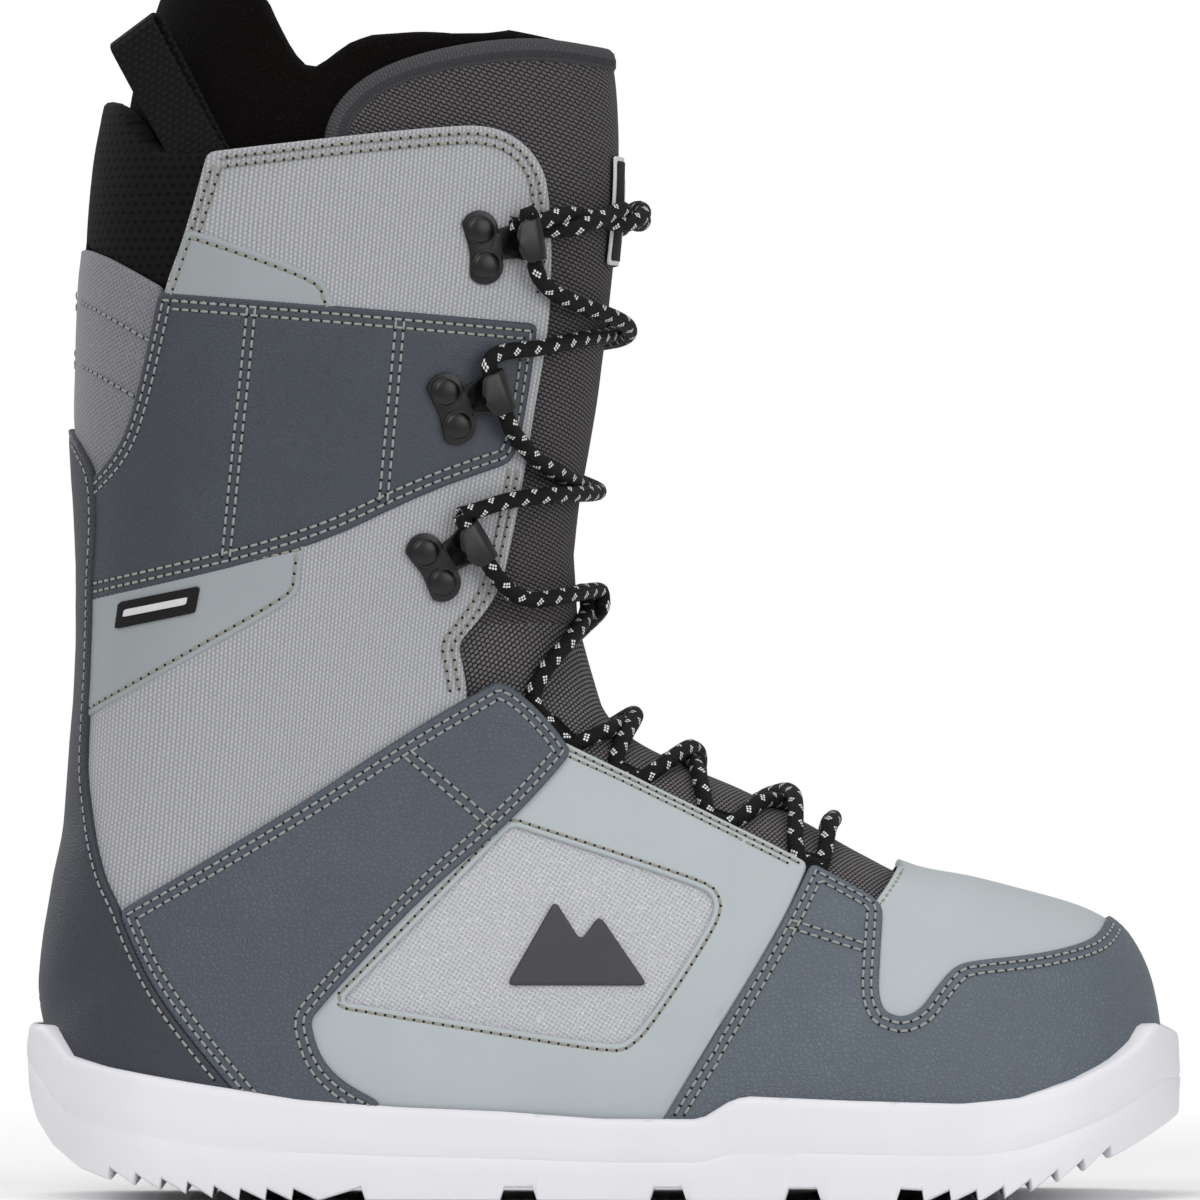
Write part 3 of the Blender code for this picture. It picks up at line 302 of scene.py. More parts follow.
def ring(loop, distance, tree, hole=False):
    """The loop moved into the piece, in order, without the points that come too near another edge."""
    u, t = loop[:, 0], loop[:, 1]
    places = skin_point(u, t)
    tangent = unit(np.roll(places, -1, axis=0) - np.roll(places, 1, axis=0))
    inward = np.cross(skin_normal(u, t), tangent)
    if (signed_area(chart(u, t)) < 0) != hole:
        inward = -inward
    moved = np.stack(slide(u, t, unit(inward), np.full(len(u), distance)), axis=1)
    reached = skin_point(moved[:, 0], moved[:, 1])
    keep = np.array([tree.find(place)[2] > 0.93 * distance for place in reached])
    return moved[keep]


EDGE_RADIUS = 0.7
STITCH_ROWS = (2.1, 4.3)


def edge_profile(depth, radius, stitched, puff):
    """How far the face of a piece drops below its full height, this deep inside its edge."""
    within = np.clip(radius - depth, 0, radius)
    drop = radius - np.sqrt(np.maximum(radius**2 - within**2, 0))
    for row in stitched:
        drop = drop + 0.22 * np.exp(-(((depth - row) / 0.5) ** 2))
    return drop - puff * (1 - np.exp(-((np.maximum(depth - 1.0, 0) / 9.0) ** 1.5)))


def make_mesh(name, points, faces, material, smooth=True, uv=None):
    mesh = bpy.data.meshes.new(name)
    mesh.from_pydata((np.asarray(points) * MM).tolist(), [], [list(map(int, face)) for face in faces])
    mesh.update()
    if smooth:
        mesh.shade_smooth()
    for item in material if isinstance(material, (list, tuple)) else [material]:
        mesh.materials.append(item)
    obj = bpy.data.objects.new(name, mesh)
    bpy.context.scene.collection.objects.link(obj)
    if uv is not None:
        layer = mesh.uv_layers.new(name="cloth")
        corners = np.empty(len(mesh.loops), np.int32)
        mesh.loops.foreach_get("vertex_index", corners)
        layer.data.foreach_set("uv", np.asarray(uv, np.float32)[corners].ravel())
    return obj


def cloth_coordinates(places, kind):
    """Where each point lies on the flat cloth, in millimetres."""
    x, y, z = places[:, 0], places[:, 1], places[:, 2]
    if kind == "side":
        return np.stack([x, z], axis=1)
    if kind == "front":
        return np.stack([np.arctan2(y, x - SHAFT_MIDDLE) * 66, z], axis=1)
    if kind == "back":
        return np.stack([np.arctan2(y, SHAFT_MIDDLE - x) * 66, z], axis=1)
    if kind == "instep":
        return np.stack([0.5 * x + 0.87 * z - np.abs(y), 0.5 * z - 0.87 * x], axis=1)
    angle = np.arctan2(np.abs(y), x - SHAFT_MIDDLE - 0.10 * (z - 200))
    return np.stack([angle * -62, z], axis=1)


def panel(name, loop, top, material, thick=1.8, holes=(), stitched=STITCH_ROWS, puff=0.0, spacing=2.8,
          cloth="side", radius=EDGE_RADIUS):
    """A sheet laid on the skin: rounded edge, stitch furrows, walls down to the layer below."""
    loops = [loop] + list(holes)
    edge_places = np.concatenate([skin_point(item[:, 0], item[:, 1]) for item in loops])
    tree = tree_of(edge_places)
    depths = [0.22 * radius, 0.6 * radius, 1.1 * radius, 1.55]
    for row in stitched:
        depths += [row, row + 0.55]
    depths += [depths[-1] + 1.2]
    parts = list(loops)
    for k, item in enumerate(loops):
        parts += [ring(item, depth, tree, hole=k > 0) for depth in depths]
    charted = chart(loop[:, 0], loop[:, 1])
    low, high = charted.min(0), charted.max(0)
    across = np.arange(low[0], high[0], spacing)
    upward = np.arange(low[1], high[1], spacing * 0.87)
    grid = np.array([(x + (j % 2) * spacing / 2, y) for j, y in enumerate(upward) for x in across]).reshape(
        -1, 2,
    )
    grid = grid[inside(grid, charted)]
    for hole in holes:
        grid = grid[~inside(grid, chart(hole[:, 0], hole[:, 1]))]
    if len(grid):
        u, t = unchart(grid)
        far = np.array([tree.find(place)[2] > depths[-1] + 0.5 * spacing for place in skin_point(u, t)], bool)
        parts.append(np.stack([u[far], t[far]], axis=1))
    inner_points = np.concatenate(parts[len(loops):])
    flat_inner = chart(inner_points[:, 0], inner_points[:, 1])
    keep = inside(flat_inner, charted)
    for hole in holes:
        keep &= ~inside(flat_inner, chart(hole[:, 0], hole[:, 1]))
    everything = np.concatenate(loops + [inner_points[keep]])
    flat = chart(everything[:, 0], everything[:, 1])
    edges, start = [], 0
    for item in loops:
        edges += [(start + k, start + (k + 1) % len(item)) for k in range(len(item))]
        start += len(item)
    out_flat, _, out_faces, origins, _, _ = delaunay_2d_cdt([Vector(p) for p in flat], edges, [], 1, 1e-6)
    source = np.array([origin[0] if origin else -1 for origin in origins])
    out_flat = np.array([tuple(p) for p in out_flat])
    u_all, t_all = unchart(out_flat)
    known = source >= 0
    u_all[known], t_all[known] = everything[source[known]].T
    faces = np.array([tuple(face) for face in out_faces if len(face) == 3])
    centres = out_flat[faces].mean(1)
    good = inside(centres, charted)
    for hole in holes:
        good &= ~inside(centres, chart(hole[:, 0], hole[:, 1]))
    faces = faces[good]
    base = skin_point(u_all, t_all)
    depth = np.array([tree.find(place)[2] for place in base])
    depth[known & (source < start)] = 0.0
    height = top - edge_profile(depth, radius, stitched, puff)
    face_points = lifted(u_all, t_all, height)
    links = {}
    for a, b, c in faces:
        for p, q in ((a, b), (b, c), (c, a)):
            links[(p, q)] = True
    rim = [(p, q) for p, q in links if (q, p) not in links]
    rim_index = sorted({p for edge in rim for p in edge})
    below = {p: len(face_points) + k for k, p in enumerate(rim_index)}
    low_points = lifted(u_all[rim_index], t_all[rim_index], np.full(len(rim_index), top - thick))
    walls = [(q, p, below[p], below[q]) for p, q in rim]
    points = np.concatenate([face_points, low_points])
    obj = make_mesh(name, points, faces.tolist() + walls, material, uv=cloth_coordinates(points, cloth) * MM)
    return obj, loops, tree


# ---------------------------------------------------------------- stitches


class Thread:
    """Collects stitches, then makes one mesh of them."""

    def __init__(self):
        self.starts = []

    def run(self, path, lift, pitch=2.8, closed=False, width=0.36, tall=0.2):
        """Stitches along a path of (u, t) points."""
        if len(path) < 4:
            return
        places = lifted(path[:, 0], path[:, 1], np.full(len(path), lift))
        normals = skin_normal(path[:, 0], path[:, 1])
        both = np.concatenate([places, normals], axis=1)
        if closed:
            both = np.concatenate([both, both[:1]])
        jumps = np.linalg.norm(np.diff(both[:, :3], axis=0), axis=1)
        pieces = np.split(both, np.flatnonzero(jumps > 6.0) + 1)
        for piece in pieces:
            if len(piece) < 3:
                continue
            lengths = np.concatenate([[0], np.cumsum(np.linalg.norm(np.diff(piece[:, :3], axis=0), axis=1))])
            count = int(lengths[-1] / pitch)
            if count < 1:
                continue
            at = (np.arange(count) + 0.5) * lengths[-1] / count
            middle = np.stack([np.interp(at, lengths, piece[:, k]) for k in range(6)], axis=1)
            ahead = np.stack([np.interp(at + 0.4, lengths, piece[:, k]) for k in range(3)], axis=1)
            behind = np.stack([np.interp(at - 0.4, lengths, piece[:, k]) for k in range(3)], axis=1)
            along = unit(ahead - behind)
            up = unit(middle[:, 3:])
            aside = unit(np.cross(up, along))
            for k in range(count):
                self.starts.append((middle[k, :3], along[k], aside[k], up[k], pitch, width, tall))

    def mesh(self, name, thread_material, hole_shade_material):
        """Each stitch is a small bowed bead of thread with a dark disc of painted shade for the needle hole at
        its end.
        """
        rings = [
            (-0.42, 0.5, -0.25), (-0.24, 0.95, 0.55), (0.0, 1.0, 1.0), (0.24, 0.95, 0.55),
            (0.42, 0.5, -0.25),
        ]
        sides = 6
        points, faces, marks = [], [], []
        turns = [2 * math.pi * k / sides for k in range(sides)]
        for centre, along, aside, up, pitch, width, tall in self.starts:
            first = len(points)
            for s, size, rise in rings:
                middle = centre + along * s * pitch + up * tall * rise
                for turn in turns:
                    offset = aside * (math.cos(turn) * width * size) + up * (math.sin(turn) * tall * size)
                    points.append(middle + offset)
            for r in range(len(rings) - 1):
                for k in range(sides):
                    a, b = first + r * sides + k, first + r * sides + (k + 1) % sides
                    faces.append((a, a + sides, b + sides, b))
                    marks.append(0)
            faces.append(tuple(first + k for k in range(sides)))
            faces.append(tuple(first + (len(rings) - 1) * sides + k for k in reversed(range(sides))))
            marks += [0, 0]
            hole = len(points)
            # A dark disc of painted shade for the needle hole.
            centre_hole = centre + along * 0.5 * pitch + up * 0.07
            for turn in turns:
                points.append(centre_hole + (along * math.cos(turn) + aside * math.sin(turn)) * 0.44)
            faces.append(tuple(hole + k for k in range(sides)))
            marks.append(1)
        obj = make_mesh(name, np.array(points), faces, [thread_material, hole_shade_material])
        obj.data.polygons.foreach_set("material_index", marks)
        return obj


def stitch_panel(thread, built, top, rows=STITCH_ROWS, pitch=2.8):
    _, loops, tree = built
    for k, loop in enumerate(loops):
        for row in rows:
            thread.run(ring(loop, row, tree, hole=k > 0), top - 0.12, pitch, closed=True)


def seam(thread, line, side, top, spread=(0.0,), pitch=2.8):
    """Straight rows of stitching across a piece, from a side-view line."""
    u, t = locate(resampled(rounded(line, closed=False), 1.3, closed=False))
    t = t if side == OUTER else -t
    places = skin_point(u, t)
    tangent = unit(np.gradient(places, axis=0))
    aside = unit(np.cross(skin_normal(u, t), tangent))
    for offset in spread:
        moved = np.stack(slide(u, t, aside, np.full(len(u), offset)), axis=1)
        thread.run(moved, top, pitch)


# ---------------------------------------------------------------- materials


def colour(red, green, blue):
    """A screen colour, 0 to 255, as the linear values that a shader takes."""
    values = [c / 255 for c in (red, green, blue)]
    return tuple(c / 12.92 if c <= 0.04045 else ((c + 0.055) / 1.055) ** 2.4 for c in values) + (1.0,)


class Number:
    """A shader value that takes part in ordinary arithmetic."""

    def __init__(self, tree, socket):
        self.tree = tree
        self.socket = socket

    def apply(self, operation, *others):
        node = self.tree.nodes.new("ShaderNodeMath")
        node.operation = operation
        for k, value in enumerate((self,) + others):
            if isinstance(value, Number):
                self.tree.links.new(value.socket, node.inputs[k])
            else:
                node.inputs[k].default_value = value
        return Number(self.tree, node.outputs[0])

    def __add__(self, other):
        return self.apply("ADD", other)

    def __sub__(self, other):
        return self.apply("SUBTRACT", other)

    def __mul__(self, other):
        return self.apply("MULTIPLY", other)

    def __truediv__(self, other):
        return self.apply("DIVIDE", other)

    def floor(self):
        return self.apply("FLOOR")

    def fraction(self):
        return self.apply("FRACT")

    def size(self):
        return self.apply("ABSOLUTE")

    def sine(self):
        return self.apply("SINE")

    def remainder(self, divisor):
        return self.apply("FLOORED_MODULO", divisor)

    def below(self, limit):
        return self.apply("LESS_THAN", limit)

    def least(self, other):
        return self.apply("MINIMUM", other)

    def most(self, other):
        return self.apply("MAXIMUM", other)

    def ramp(self, start, stop):
        """0 at start, 1 at stop, smooth between."""
        node = self.tree.nodes.new("ShaderNodeMapRange")
        node.interpolation_type = "SMOOTHSTEP"
        self.tree.links.new(self.socket, node.inputs["Value"])
        node.inputs["From Min"].default_value = start
        node.inputs["From Max"].default_value = stop
        return Number(self.tree, node.outputs["Result"])


class Surface:
    """A material built around one Principled shader."""

    def __init__(self, name, base, roughness, **inputs):
        self.material = bpy.data.materials.new(name)
        self.material.use_nodes = True
        self.tree = self.material.node_tree
        self.shader = self.tree.nodes["Principled BSDF"]
        self.base = base
        self.shader.inputs["Base Color"].default_value = base
        self.shader.inputs["Roughness"].default_value = roughness
        self.material.diffuse_color = base
        for key, value in inputs.items():
            self.shader.inputs[key.replace("_", " ")].default_value = value

    def place(self):
        """Position in the boot's own coordinates, in metres."""
        return self.tree.nodes.new("ShaderNodeTexCoord").outputs["Object"]

    def cloth(self):
        """Across and along the cloth, in millimetres."""
        map_node = self.tree.nodes.new("ShaderNodeUVMap")
        map_node.uv_map = "cloth"
        split = self.tree.nodes.new("ShaderNodeSeparateXYZ")
        self.tree.links.new(map_node.outputs[0], split.inputs[0])
        across, along = (Number(self.tree, split.outputs[k]) for k in (0, 1))
        return across * 1000.0, along * 1000.0

    def noise(self, per_metre, detail=3.0, where=None):
        node = self.tree.nodes.new("ShaderNodeTexNoise")
        self.tree.links.new(where or self.place(), node.inputs["Vector"])
        node.inputs["Scale"].default_value = per_metre
        node.inputs["Detail"].default_value = detail
        return Number(self.tree, node.outputs["Fac"])

    def cells(self, per_metre, feature="DISTANCE_TO_EDGE"):
        node = self.tree.nodes.new("ShaderNodeTexVoronoi")
        node.feature = feature
        warp = self.tree.nodes.new("ShaderNodeTexNoise")
        warp.inputs["Scale"].default_value = per_metre * 0.35
        mix = self.tree.nodes.new("ShaderNodeVectorMath")
        mix.operation = "MULTIPLY_ADD"
        place = self.place()
        self.tree.links.new(place, warp.inputs["Vector"])
        self.tree.links.new(warp.outputs["Color"], mix.inputs[0])
        mix.inputs[1].default_value = (1.2 / per_metre,) * 3
        self.tree.links.new(place, mix.inputs[2])
        self.tree.links.new(mix.outputs[0], node.inputs["Vector"])
        node.inputs["Scale"].default_value = per_metre
        return Number(self.tree, node.outputs["Distance"])

    def tint(self, amount, other, base=None):
        """Mixes the base colour with another colour by a shader value."""
        mix = self.tree.nodes.new("ShaderNodeMix")
        mix.data_type = "RGBA"
        mix.clamp_factor = True
        self.tree.links.new(amount.socket, mix.inputs["Factor"])
        if base is None:
            mix.inputs["A"].default_value = self.base
        else:
            self.tree.links.new(base, mix.inputs["A"])
        mix.inputs["B"].default_value = other
        self.tree.links.new(mix.outputs["Result"], self.shader.inputs["Base Color"])
        return mix.outputs["Result"]

    def bump(self, height, depth_mm, strength=1.0):
        node = self.tree.nodes.new("ShaderNodeBump")
        node.inputs["Strength"].default_value = strength
        node.inputs["Distance"].default_value = depth_mm * MM
        self.tree.links.new(height.socket, node.inputs["Height"])
        self.tree.links.new(node.outputs[0], self.shader.inputs["Normal"])
        return self

    def roughen(self, value, low, high):
        self.tree.links.new((value * (high - low) + low).socket, self.shader.inputs["Roughness"])
        return self


def pebbled_leather(name, base, depth=0.16, roughness=0.5, grain=760.0):
    """Coated leather with a pebble grain, faint creases and painted shade in the grain's crevices."""
    skin = Surface(name, base, roughness, Specular_IOR_Level=0.42)
    pebbles = skin.cells(grain).ramp(0.0, 0.32)
    fine = skin.noise(3200.0, 2.0)
    broad = skin.noise(55.0, 3.0)
    skin.bump(pebbles * 0.8 + fine * 0.35 + broad * 0.6, depth)
    lighter = tuple(min(1.0, c * 1.22 + 0.004) for c in base[:3]) + (1.0,)
    crevice_shade = tuple(c * 0.72 for c in base[:3]) + (1.0,)
    toned = skin.tint((broad - 0.5) * 1.6, lighter)
    # Painted shade: the crevices between the pebbles, low in the bump, are darkened.
    skin.tint(pebbles.ramp(0.45, 0.0) * 0.55, crevice_shade, toned)
    skin.roughen(fine, roughness - 0.06, roughness + 0.10)
    return skin.material


def smooth_leather(name, base, roughness=0.52):
    """Fine, nearly plain coated leather."""
    skin = Surface(name, base, roughness, Specular_IOR_Level=0.38)
    fine = skin.noise(2400.0, 4.0)
    broad = skin.noise(40.0, 3.0)
    skin.bump(fine * 0.6 + broad * 0.8, 0.07)
    lighter = tuple(min(1.0, c * 1.10) for c in base[:3]) + (1.0,)
    skin.tint((broad - 0.45) * 1.5, lighter)
    return skin.material


def dashed_canvas(name, base, thread, pitch=1.62, length=2.3):
    """Woven fabric with upright rows of raised dashes, and painted shade between its ribs."""
    cloth = Surface(name, base, 0.85, Specular_IOR_Level=0.2, Sheen_Weight=0.15)
    across, along = cloth.cloth()
    column = (across / pitch).floor()
    beside = (across / pitch).fraction() - 0.5
    above = (along / length + column * 0.5).fraction() - 0.5
    dash = ((beside / 0.30) * (beside / 0.30) + (above / 0.38) * (above / 0.38)).ramp(1.15, 0.55)
    rib = beside.size().ramp(0.5, 0.22)
    weave = (across * 9.0).sine() * (along * 9.0).sine()
    speck = cloth.noise(2600.0, 2.0)
    cloth.bump(dash * 0.5 + rib * 0.5 + weave * 0.12 + speck * 0.35, 0.2)
    shade = tuple(c * 0.62 for c in base[:3]) + (1.0,)
    # The speck term varies the tone at random; the rib term is painted shade in the furrows between the rib
    # columns.
    ground = cloth.tint((speck - 0.38) * 1.6 + (rib * -0.35 + 0.35), shade)
    cloth.tint(dash * 0.55, thread, ground)
    return cloth.material


def fine_weave(name, base, dark, light, pitch=0.95, slant=0.0, depth=0.13):
    """A tight weave of two tones: painted shade in its low cells, and pale flecks."""
    cloth = Surface(name, base, 0.88, Specular_IOR_Level=0.18, Sheen_Weight=0.2)
    across, along = cloth.cloth()
    first = (across + along * slant) * (math.pi / pitch)
    second = (along - across * slant) * (math.pi / pitch)
    warp, weft = first.sine(), second.sine()
    over = (warp * weft).ramp(-0.5, 0.6)
    speck = cloth.noise(2900.0, 3.0)
    cloth.bump(over * 0.8 + speck * 0.4, depth)
    # Painted shade: the low cells of the weave, where the bump dips, take the dark colour.
    ground = cloth.tint(over.ramp(0.5, 0.0) * 0.75, dark)
    cloth.tint(speck.ramp(0.54, 0.70) * 0.8, light, ground)
    return cloth.material


def ribbed_knit(name, base, slit_shade, across_mm=3.1, along_mm=1.5, depth=0.5, tilt=0.35):
    """Spacer knit: staggered short ribs with painted shade in the slits between them."""
    cloth = Surface(name, base, 0.85, Specular_IOR_Level=0.12, Sheen_Weight=0.04)
    across, along = cloth.cloth()
    leaning = along + across * tilt
    course = (leaning / along_mm).floor()
    above = (leaning / along_mm).fraction() - 0.5
    beside = (across / across_mm + course * 0.5).fraction() - 0.5
    rib = ((beside / 0.47) * (beside / 0.47) + (above / 0.40) * (above / 0.40)).ramp(1.2, 0.45)
    speck = cloth.noise(2600.0, 3.0)
    cloth.bump(rib + speck * 0.3, depth)
    # Painted shade: the slits between the ribs take the dark slit colour.
    ground = cloth.tint(rib.ramp(0.7, 0.0), slit_shade)
    lighter = tuple(min(1.0, c * 1.5 + 0.01) for c in base[:3]) + (1.0,)
    cloth.tint(speck.ramp(0.56, 0.75) * 0.6, lighter, ground)
    return cloth.material


def pierced_mesh(name, base, hole, pitch=3.0):
    """Padded mesh with rows of small holes, darkened with painted shade."""
    cloth = Surface(name, base, 0.8, Specular_IOR_Level=0.12)
    across, along = cloth.cloth()
    row = (along / (pitch * 0.8)).floor()
    above = ((along / (pitch * 0.8)).fraction() - 0.5) * 0.8
    beside = (across / pitch + row * 0.5).fraction() - 0.5
    dot = (beside * beside + above * above * 2.2).ramp(0.10, 0.035)
    speck = cloth.noise(3000.0, 2.0)
    cloth.bump(dot * -1.0 + speck * 0.2, 0.45)
    # Painted shade: the holes are darkened toward the hole colour.
    cloth.tint(dot, hole)
    return cloth.material


def woven_tape(name, base, rib=1.1, across_ribs=True, depth=0.25, light=None):
    """Webbing or binding with fine ribs and a painted highlight on their crowns."""
    cloth = Surface(name, base, 0.72, Specular_IOR_Level=0.16)
    across, along = cloth.cloth()
    main = (along if across_ribs else across) * (math.pi / rib)
    other = (across if across_ribs else along) * (math.pi / (rib * 0.7))
    height = main.sine().size() * 0.8 + (other.sine() * main.sine()) * 0.3
    cloth.bump(height, depth)
    # Painted highlight: the crowns of the ribs are lightened.
    lighter = light or tuple(min(1.0, c * 1.9 + 0.01) for c in base[:3]) + (1.0,)
    cloth.tint(height.ramp(0.55, 1.1) * 0.5, lighter)
    return cloth.material


def brushed_fleece(name, base, light):
    cloth = Surface(name, base, 0.95, Specular_IOR_Level=0.04, Sheen_Weight=0.02)
    fuzz = cloth.noise(1500.0, 4.0)
    broad = cloth.noise(120.0, 3.0)
    cloth.bump(fuzz + broad * 0.8, 0.5)
    cloth.tint(fuzz.ramp(0.52, 0.78) * 0.8, light)
    return cloth.material


def braided_cord(name, base, fleck, strands=24, lay=13.2):
    """Braided lace with pale flecks and painted shade in the braid's grooves. The cloth coordinates are turns
    round the cord and length along it.
    """
    cord = Surface(name, base, 0.62, Specular_IOR_Level=0.22)
    around, along = cord.cloth()
    right = around * strands / 2.0 + along / (lay / strands * 2.0)
    left = around * strands / 2.0 - along / (lay / strands * 2.0)
    right_cell, left_cell = right.floor(), left.floor()
    right_in, left_in = right.fraction() - 0.5, left.fraction() - 0.5
    turn = (right_cell + left_cell).remainder(2.0)
    crown = (right_in * right_in) * (turn * -1.0 + 1.0) + (left_in * left_in) * turn
    height = crown.ramp(0.25, 0.0)
    fibre = (right_in * 22.0).sine() * 0.12
    cord.bump(height + fibre, 0.26)
    chosen = right_cell.remainder(6.0).below(1.5) * left_cell.remainder(6.0).below(2.5)
    spot = (right_in * right_in + left_in * left_in).ramp(0.20, 0.12)
    # Painted shade: the grooves between the braid's crowns are darkened almost to black.
    edges = cord.tint(height.ramp(0.35, 0.0) * 0.8, (0.002, 0.002, 0.002, 1.0))
    cord.tint(chosen * spot, fleck, edges)
    return cord.material


def moulded_rubber(name, base, roughness=0.5, depth=0.05, grain=1500.0):
    rubber = Surface(name, base, roughness, Specular_IOR_Level=0.4)
    fine = rubber.noise(grain, 3.0)
    broad = rubber.noise(30.0, 2.0)
    rubber.bump(fine * 0.5 + broad * 1.2, depth)
    shade = tuple(c * 0.90 for c in base[:3]) + (1.0,)
    rubber.tint((broad - 0.5) * 1.2, shade)
    return rubber.material


def painted_metal(name, base, roughness=0.32):
    metal = Surface(name, base, roughness, Specular_IOR_Level=0.4, Coat_Weight=0.1, Coat_Roughness=0.25)
    fine = metal.noise(900.0, 3.0)
    metal.bump(fine, 0.03)
    metal.roughen(fine, roughness - 0.06, roughness + 0.14)
    return metal.material


def plain(name, base, roughness=0.7, grain=1800.0):
    """Thread, labels and hidden board: one tone with a fine fibre grain."""
    stuff = Surface(name, base, roughness, Specular_IOR_Level=0.25)
    fine = stuff.noise(grain, 3.0)
    stuff.bump(fine, 0.05)
    lighter = tuple(min(1.0, c * 1.3 + 0.004) for c in base[:3]) + (1.0,)
    stuff.tint((fine - 0.5) * 2.0, lighter)
    return stuff.material


DARK_LEATHER = pebbled_leather("slate_leather", colour(76, 83, 93), 0.2, 0.47)
BAND_LEATHER = pebbled_leather("band_leather", colour(62, 67, 76), 0.08, 0.48, 980.0)
BACKSTAY_LEATHER = pebbled_leather("backstay_leather", colour(53, 56, 65), 0.09, 0.48, 980.0)
TOE_LEATHER = pebbled_leather("toe_leather", colour(89, 98, 107), 0.2, 0.45)
LIGHT_LEATHER = smooth_leather("light_leather", colour(171, 178, 181))
# Painted shade: the light leather made darker for the patches, which lie in shade.
SHADED_PATCH_LEATHER = smooth_leather("patch_leather_painted_shade", colour(150, 156, 159))
CANVAS = dashed_canvas("cuff_canvas", colour(165, 166, 170), colour(204, 205, 209), 1.33, 1.25)
WINDOW_WEAVE = fine_weave(
    "window_weave", colour(186, 187, 191), colour(150, 151, 157), colour(235, 235, 238), 0.8, 0.25,
)
REAR_WEAVE = fine_weave(
    "rear_weave", colour(127, 126, 132), colour(94, 93, 99), colour(162, 162, 167), 0.8, 0.35,
)
TONGUE_KNIT = ribbed_knit("tongue_knit", colour(93, 89, 91), colour(34, 32, 33), 1.75, 1.1, 0.26, 0.3)
# Painted light: the tongue knit made lighter for the instep, where light from above falls.
LIT_INSTEP_KNIT = ribbed_knit("instep_knit_painted_light", colour(108, 105, 107), colour(34, 32, 33), 1.75, 1.1, 0.26, 0.2)
TONGUE_TAPE = woven_tape("tongue_binding_tape", colour(66, 66, 69), 0.9)
COLLAR_MESH = pierced_mesh("collar_mesh", colour(19, 17, 18), colour(5, 4, 5))
FLEECE = brushed_fleece("liner_fleece", colour(11, 9, 8), colour(30, 25, 23))
LINER_CLOTH = ribbed_knit("footbed_cloth", colour(30, 27, 26), colour(10, 9, 9), 1.9, 1.5, 0.3, 0.0)
WEBBING = woven_tape("black_webbing", colour(11, 10, 11), 1.7)
LOOP_TAPE = woven_tape("loop_webbing", colour(13, 12, 13), 0.8)
LACE = braided_cord("lace_braid", colour(15, 13, 13), colour(240, 240, 240))
SOLE_RUBBER = moulded_rubber("sole_rubber", colour(222, 221, 226), 0.42)
BADGE_RUBBER = moulded_rubber("badge_rubber", colour(62, 60, 63), 0.55, 0.04)
BLACK_METAL = painted_metal("black_painted_steel", colour(12, 10, 10))
GREY_THREAD = plain("grey_thread", colour(146, 148, 146))
PALE_THREAD = plain("pale_thread", colour(146, 144, 131))
# Painted shade: a dark disc stands for the shade in each needle hole.
NEEDLE_HOLE_SHADE = plain("needle_hole_painted_shade", colour(22, 22, 24), 0.9)
LABEL_BLACK = plain("label_black", colour(20, 20, 21), 0.75)
LABEL_PALE = plain("label_pale", colour(206, 207, 208), 0.75)
BOARD = plain("board_fibre", colour(60, 56, 50), 0.85)


# ---------------------------------------------------------------- putting pieces in the frame

BEND_START = (-0.030, 0.0, 0.088)
BEND_END = (-0.040, 0.0, 0.146)
SIDES = (("lateral", OUTER), ("medial", INNER))


def place(obj, slot_name, body="bend", replaces=(), start=BEND_START, end=BEND_END):
    """Hides the solids the piece stands for; a piece whose body is one name follows that body's empty, and any
    other piece is baked where it stands. The slot name is not used.
    """
    if replaces:
        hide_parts(*replaces)
    if body == "bend":
        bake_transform(obj)
    elif isinstance(body, tuple):
        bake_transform(obj)
    else:
        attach(obj, body)
    return obj


# ---------------------------------------------------------------- outlines, side view

STRAP_TOP = [(-129.7, 77.7), (-81.5, 106.4), (-54.7, 124.4), (-28.7, 139.4)]
STRAP_FRONT = [(-23.0, 136.7), (-14.2, 127.6), (-9.1, 120.3), (-10.7, 117.4)]
STRAP_BOTTOM = [
    (-24.9, 101.8), (-49.0, 81.5), (-72.9, 55.5), (-78.8, 48.5), (-76.4, 39.1), (-70.5, 32.2), (-60, 26.5),
]
HEEL_EDGE = [(-99.7, 30.0), (-111.0, 43.4), (-121.7, 58.2)]
STRAP = STRAP_TOP + STRAP_FRONT + STRAP_BOTTOM + [(-60, 19), (-92, 21)] + HEEL_EDGE + [(-128.4, 72.9)]
BACKSTAY = [(-170, 206), (-143.5, 206), (-136.1, 193.2), (-138.0, 161.3), (-139.1, 129.2), (-139.9, 113.1)]
BACKSTAY += [(-135.9, 89.5), (-129.7, 77.7), (-128.4, 72.9), (-121.7, 58.2), (-111.0, 43.4), (-99.7, 30.0)]
BACKSTAY += [(-92, 21), (-98, 18.0), (-125, 22.0), (-139, 28.0), (-146, 36), (-170, 46)]
CUFF_FRONT = [
    (-39.2, 288.6), (-28.7, 288.0), (-21.7, 284.6), (-16.5, 279.0), (-13.9, 271.5), (-12.9, 241.7),
    (-17.2, 214.9), (-24.7, 172.1), (-28.4, 161.3),
]
CUFF = [(-106.9, 281.4)] + CUFF_FRONT
CUFF += [(-38.6, 149.3), (-36, 137), (-36.4, 129.5), (-58.5, 108.0), (-83.6, 92.0), (-118.0, 66.0)]
CUFF += [(-136.0, 68.0), (-142.0, 89.0), (-143.0, 107.7), (-141.5, 129.2), (-140.6, 161.3), (-140.5, 193.5)]
CUFF += [(-128.4, 204.2), (-119.0, 244.4), (-113.6, 257.8)]
BAND_TOP = [(-119.5, 243.9), (-17.7, 235.3)]
BAND = BAND_TOP + [(-19.8, 217.3), (-22.5, 202.9), (-25.5, 197.8), (-49.0, 189.5), (-79.9, 174.2)]
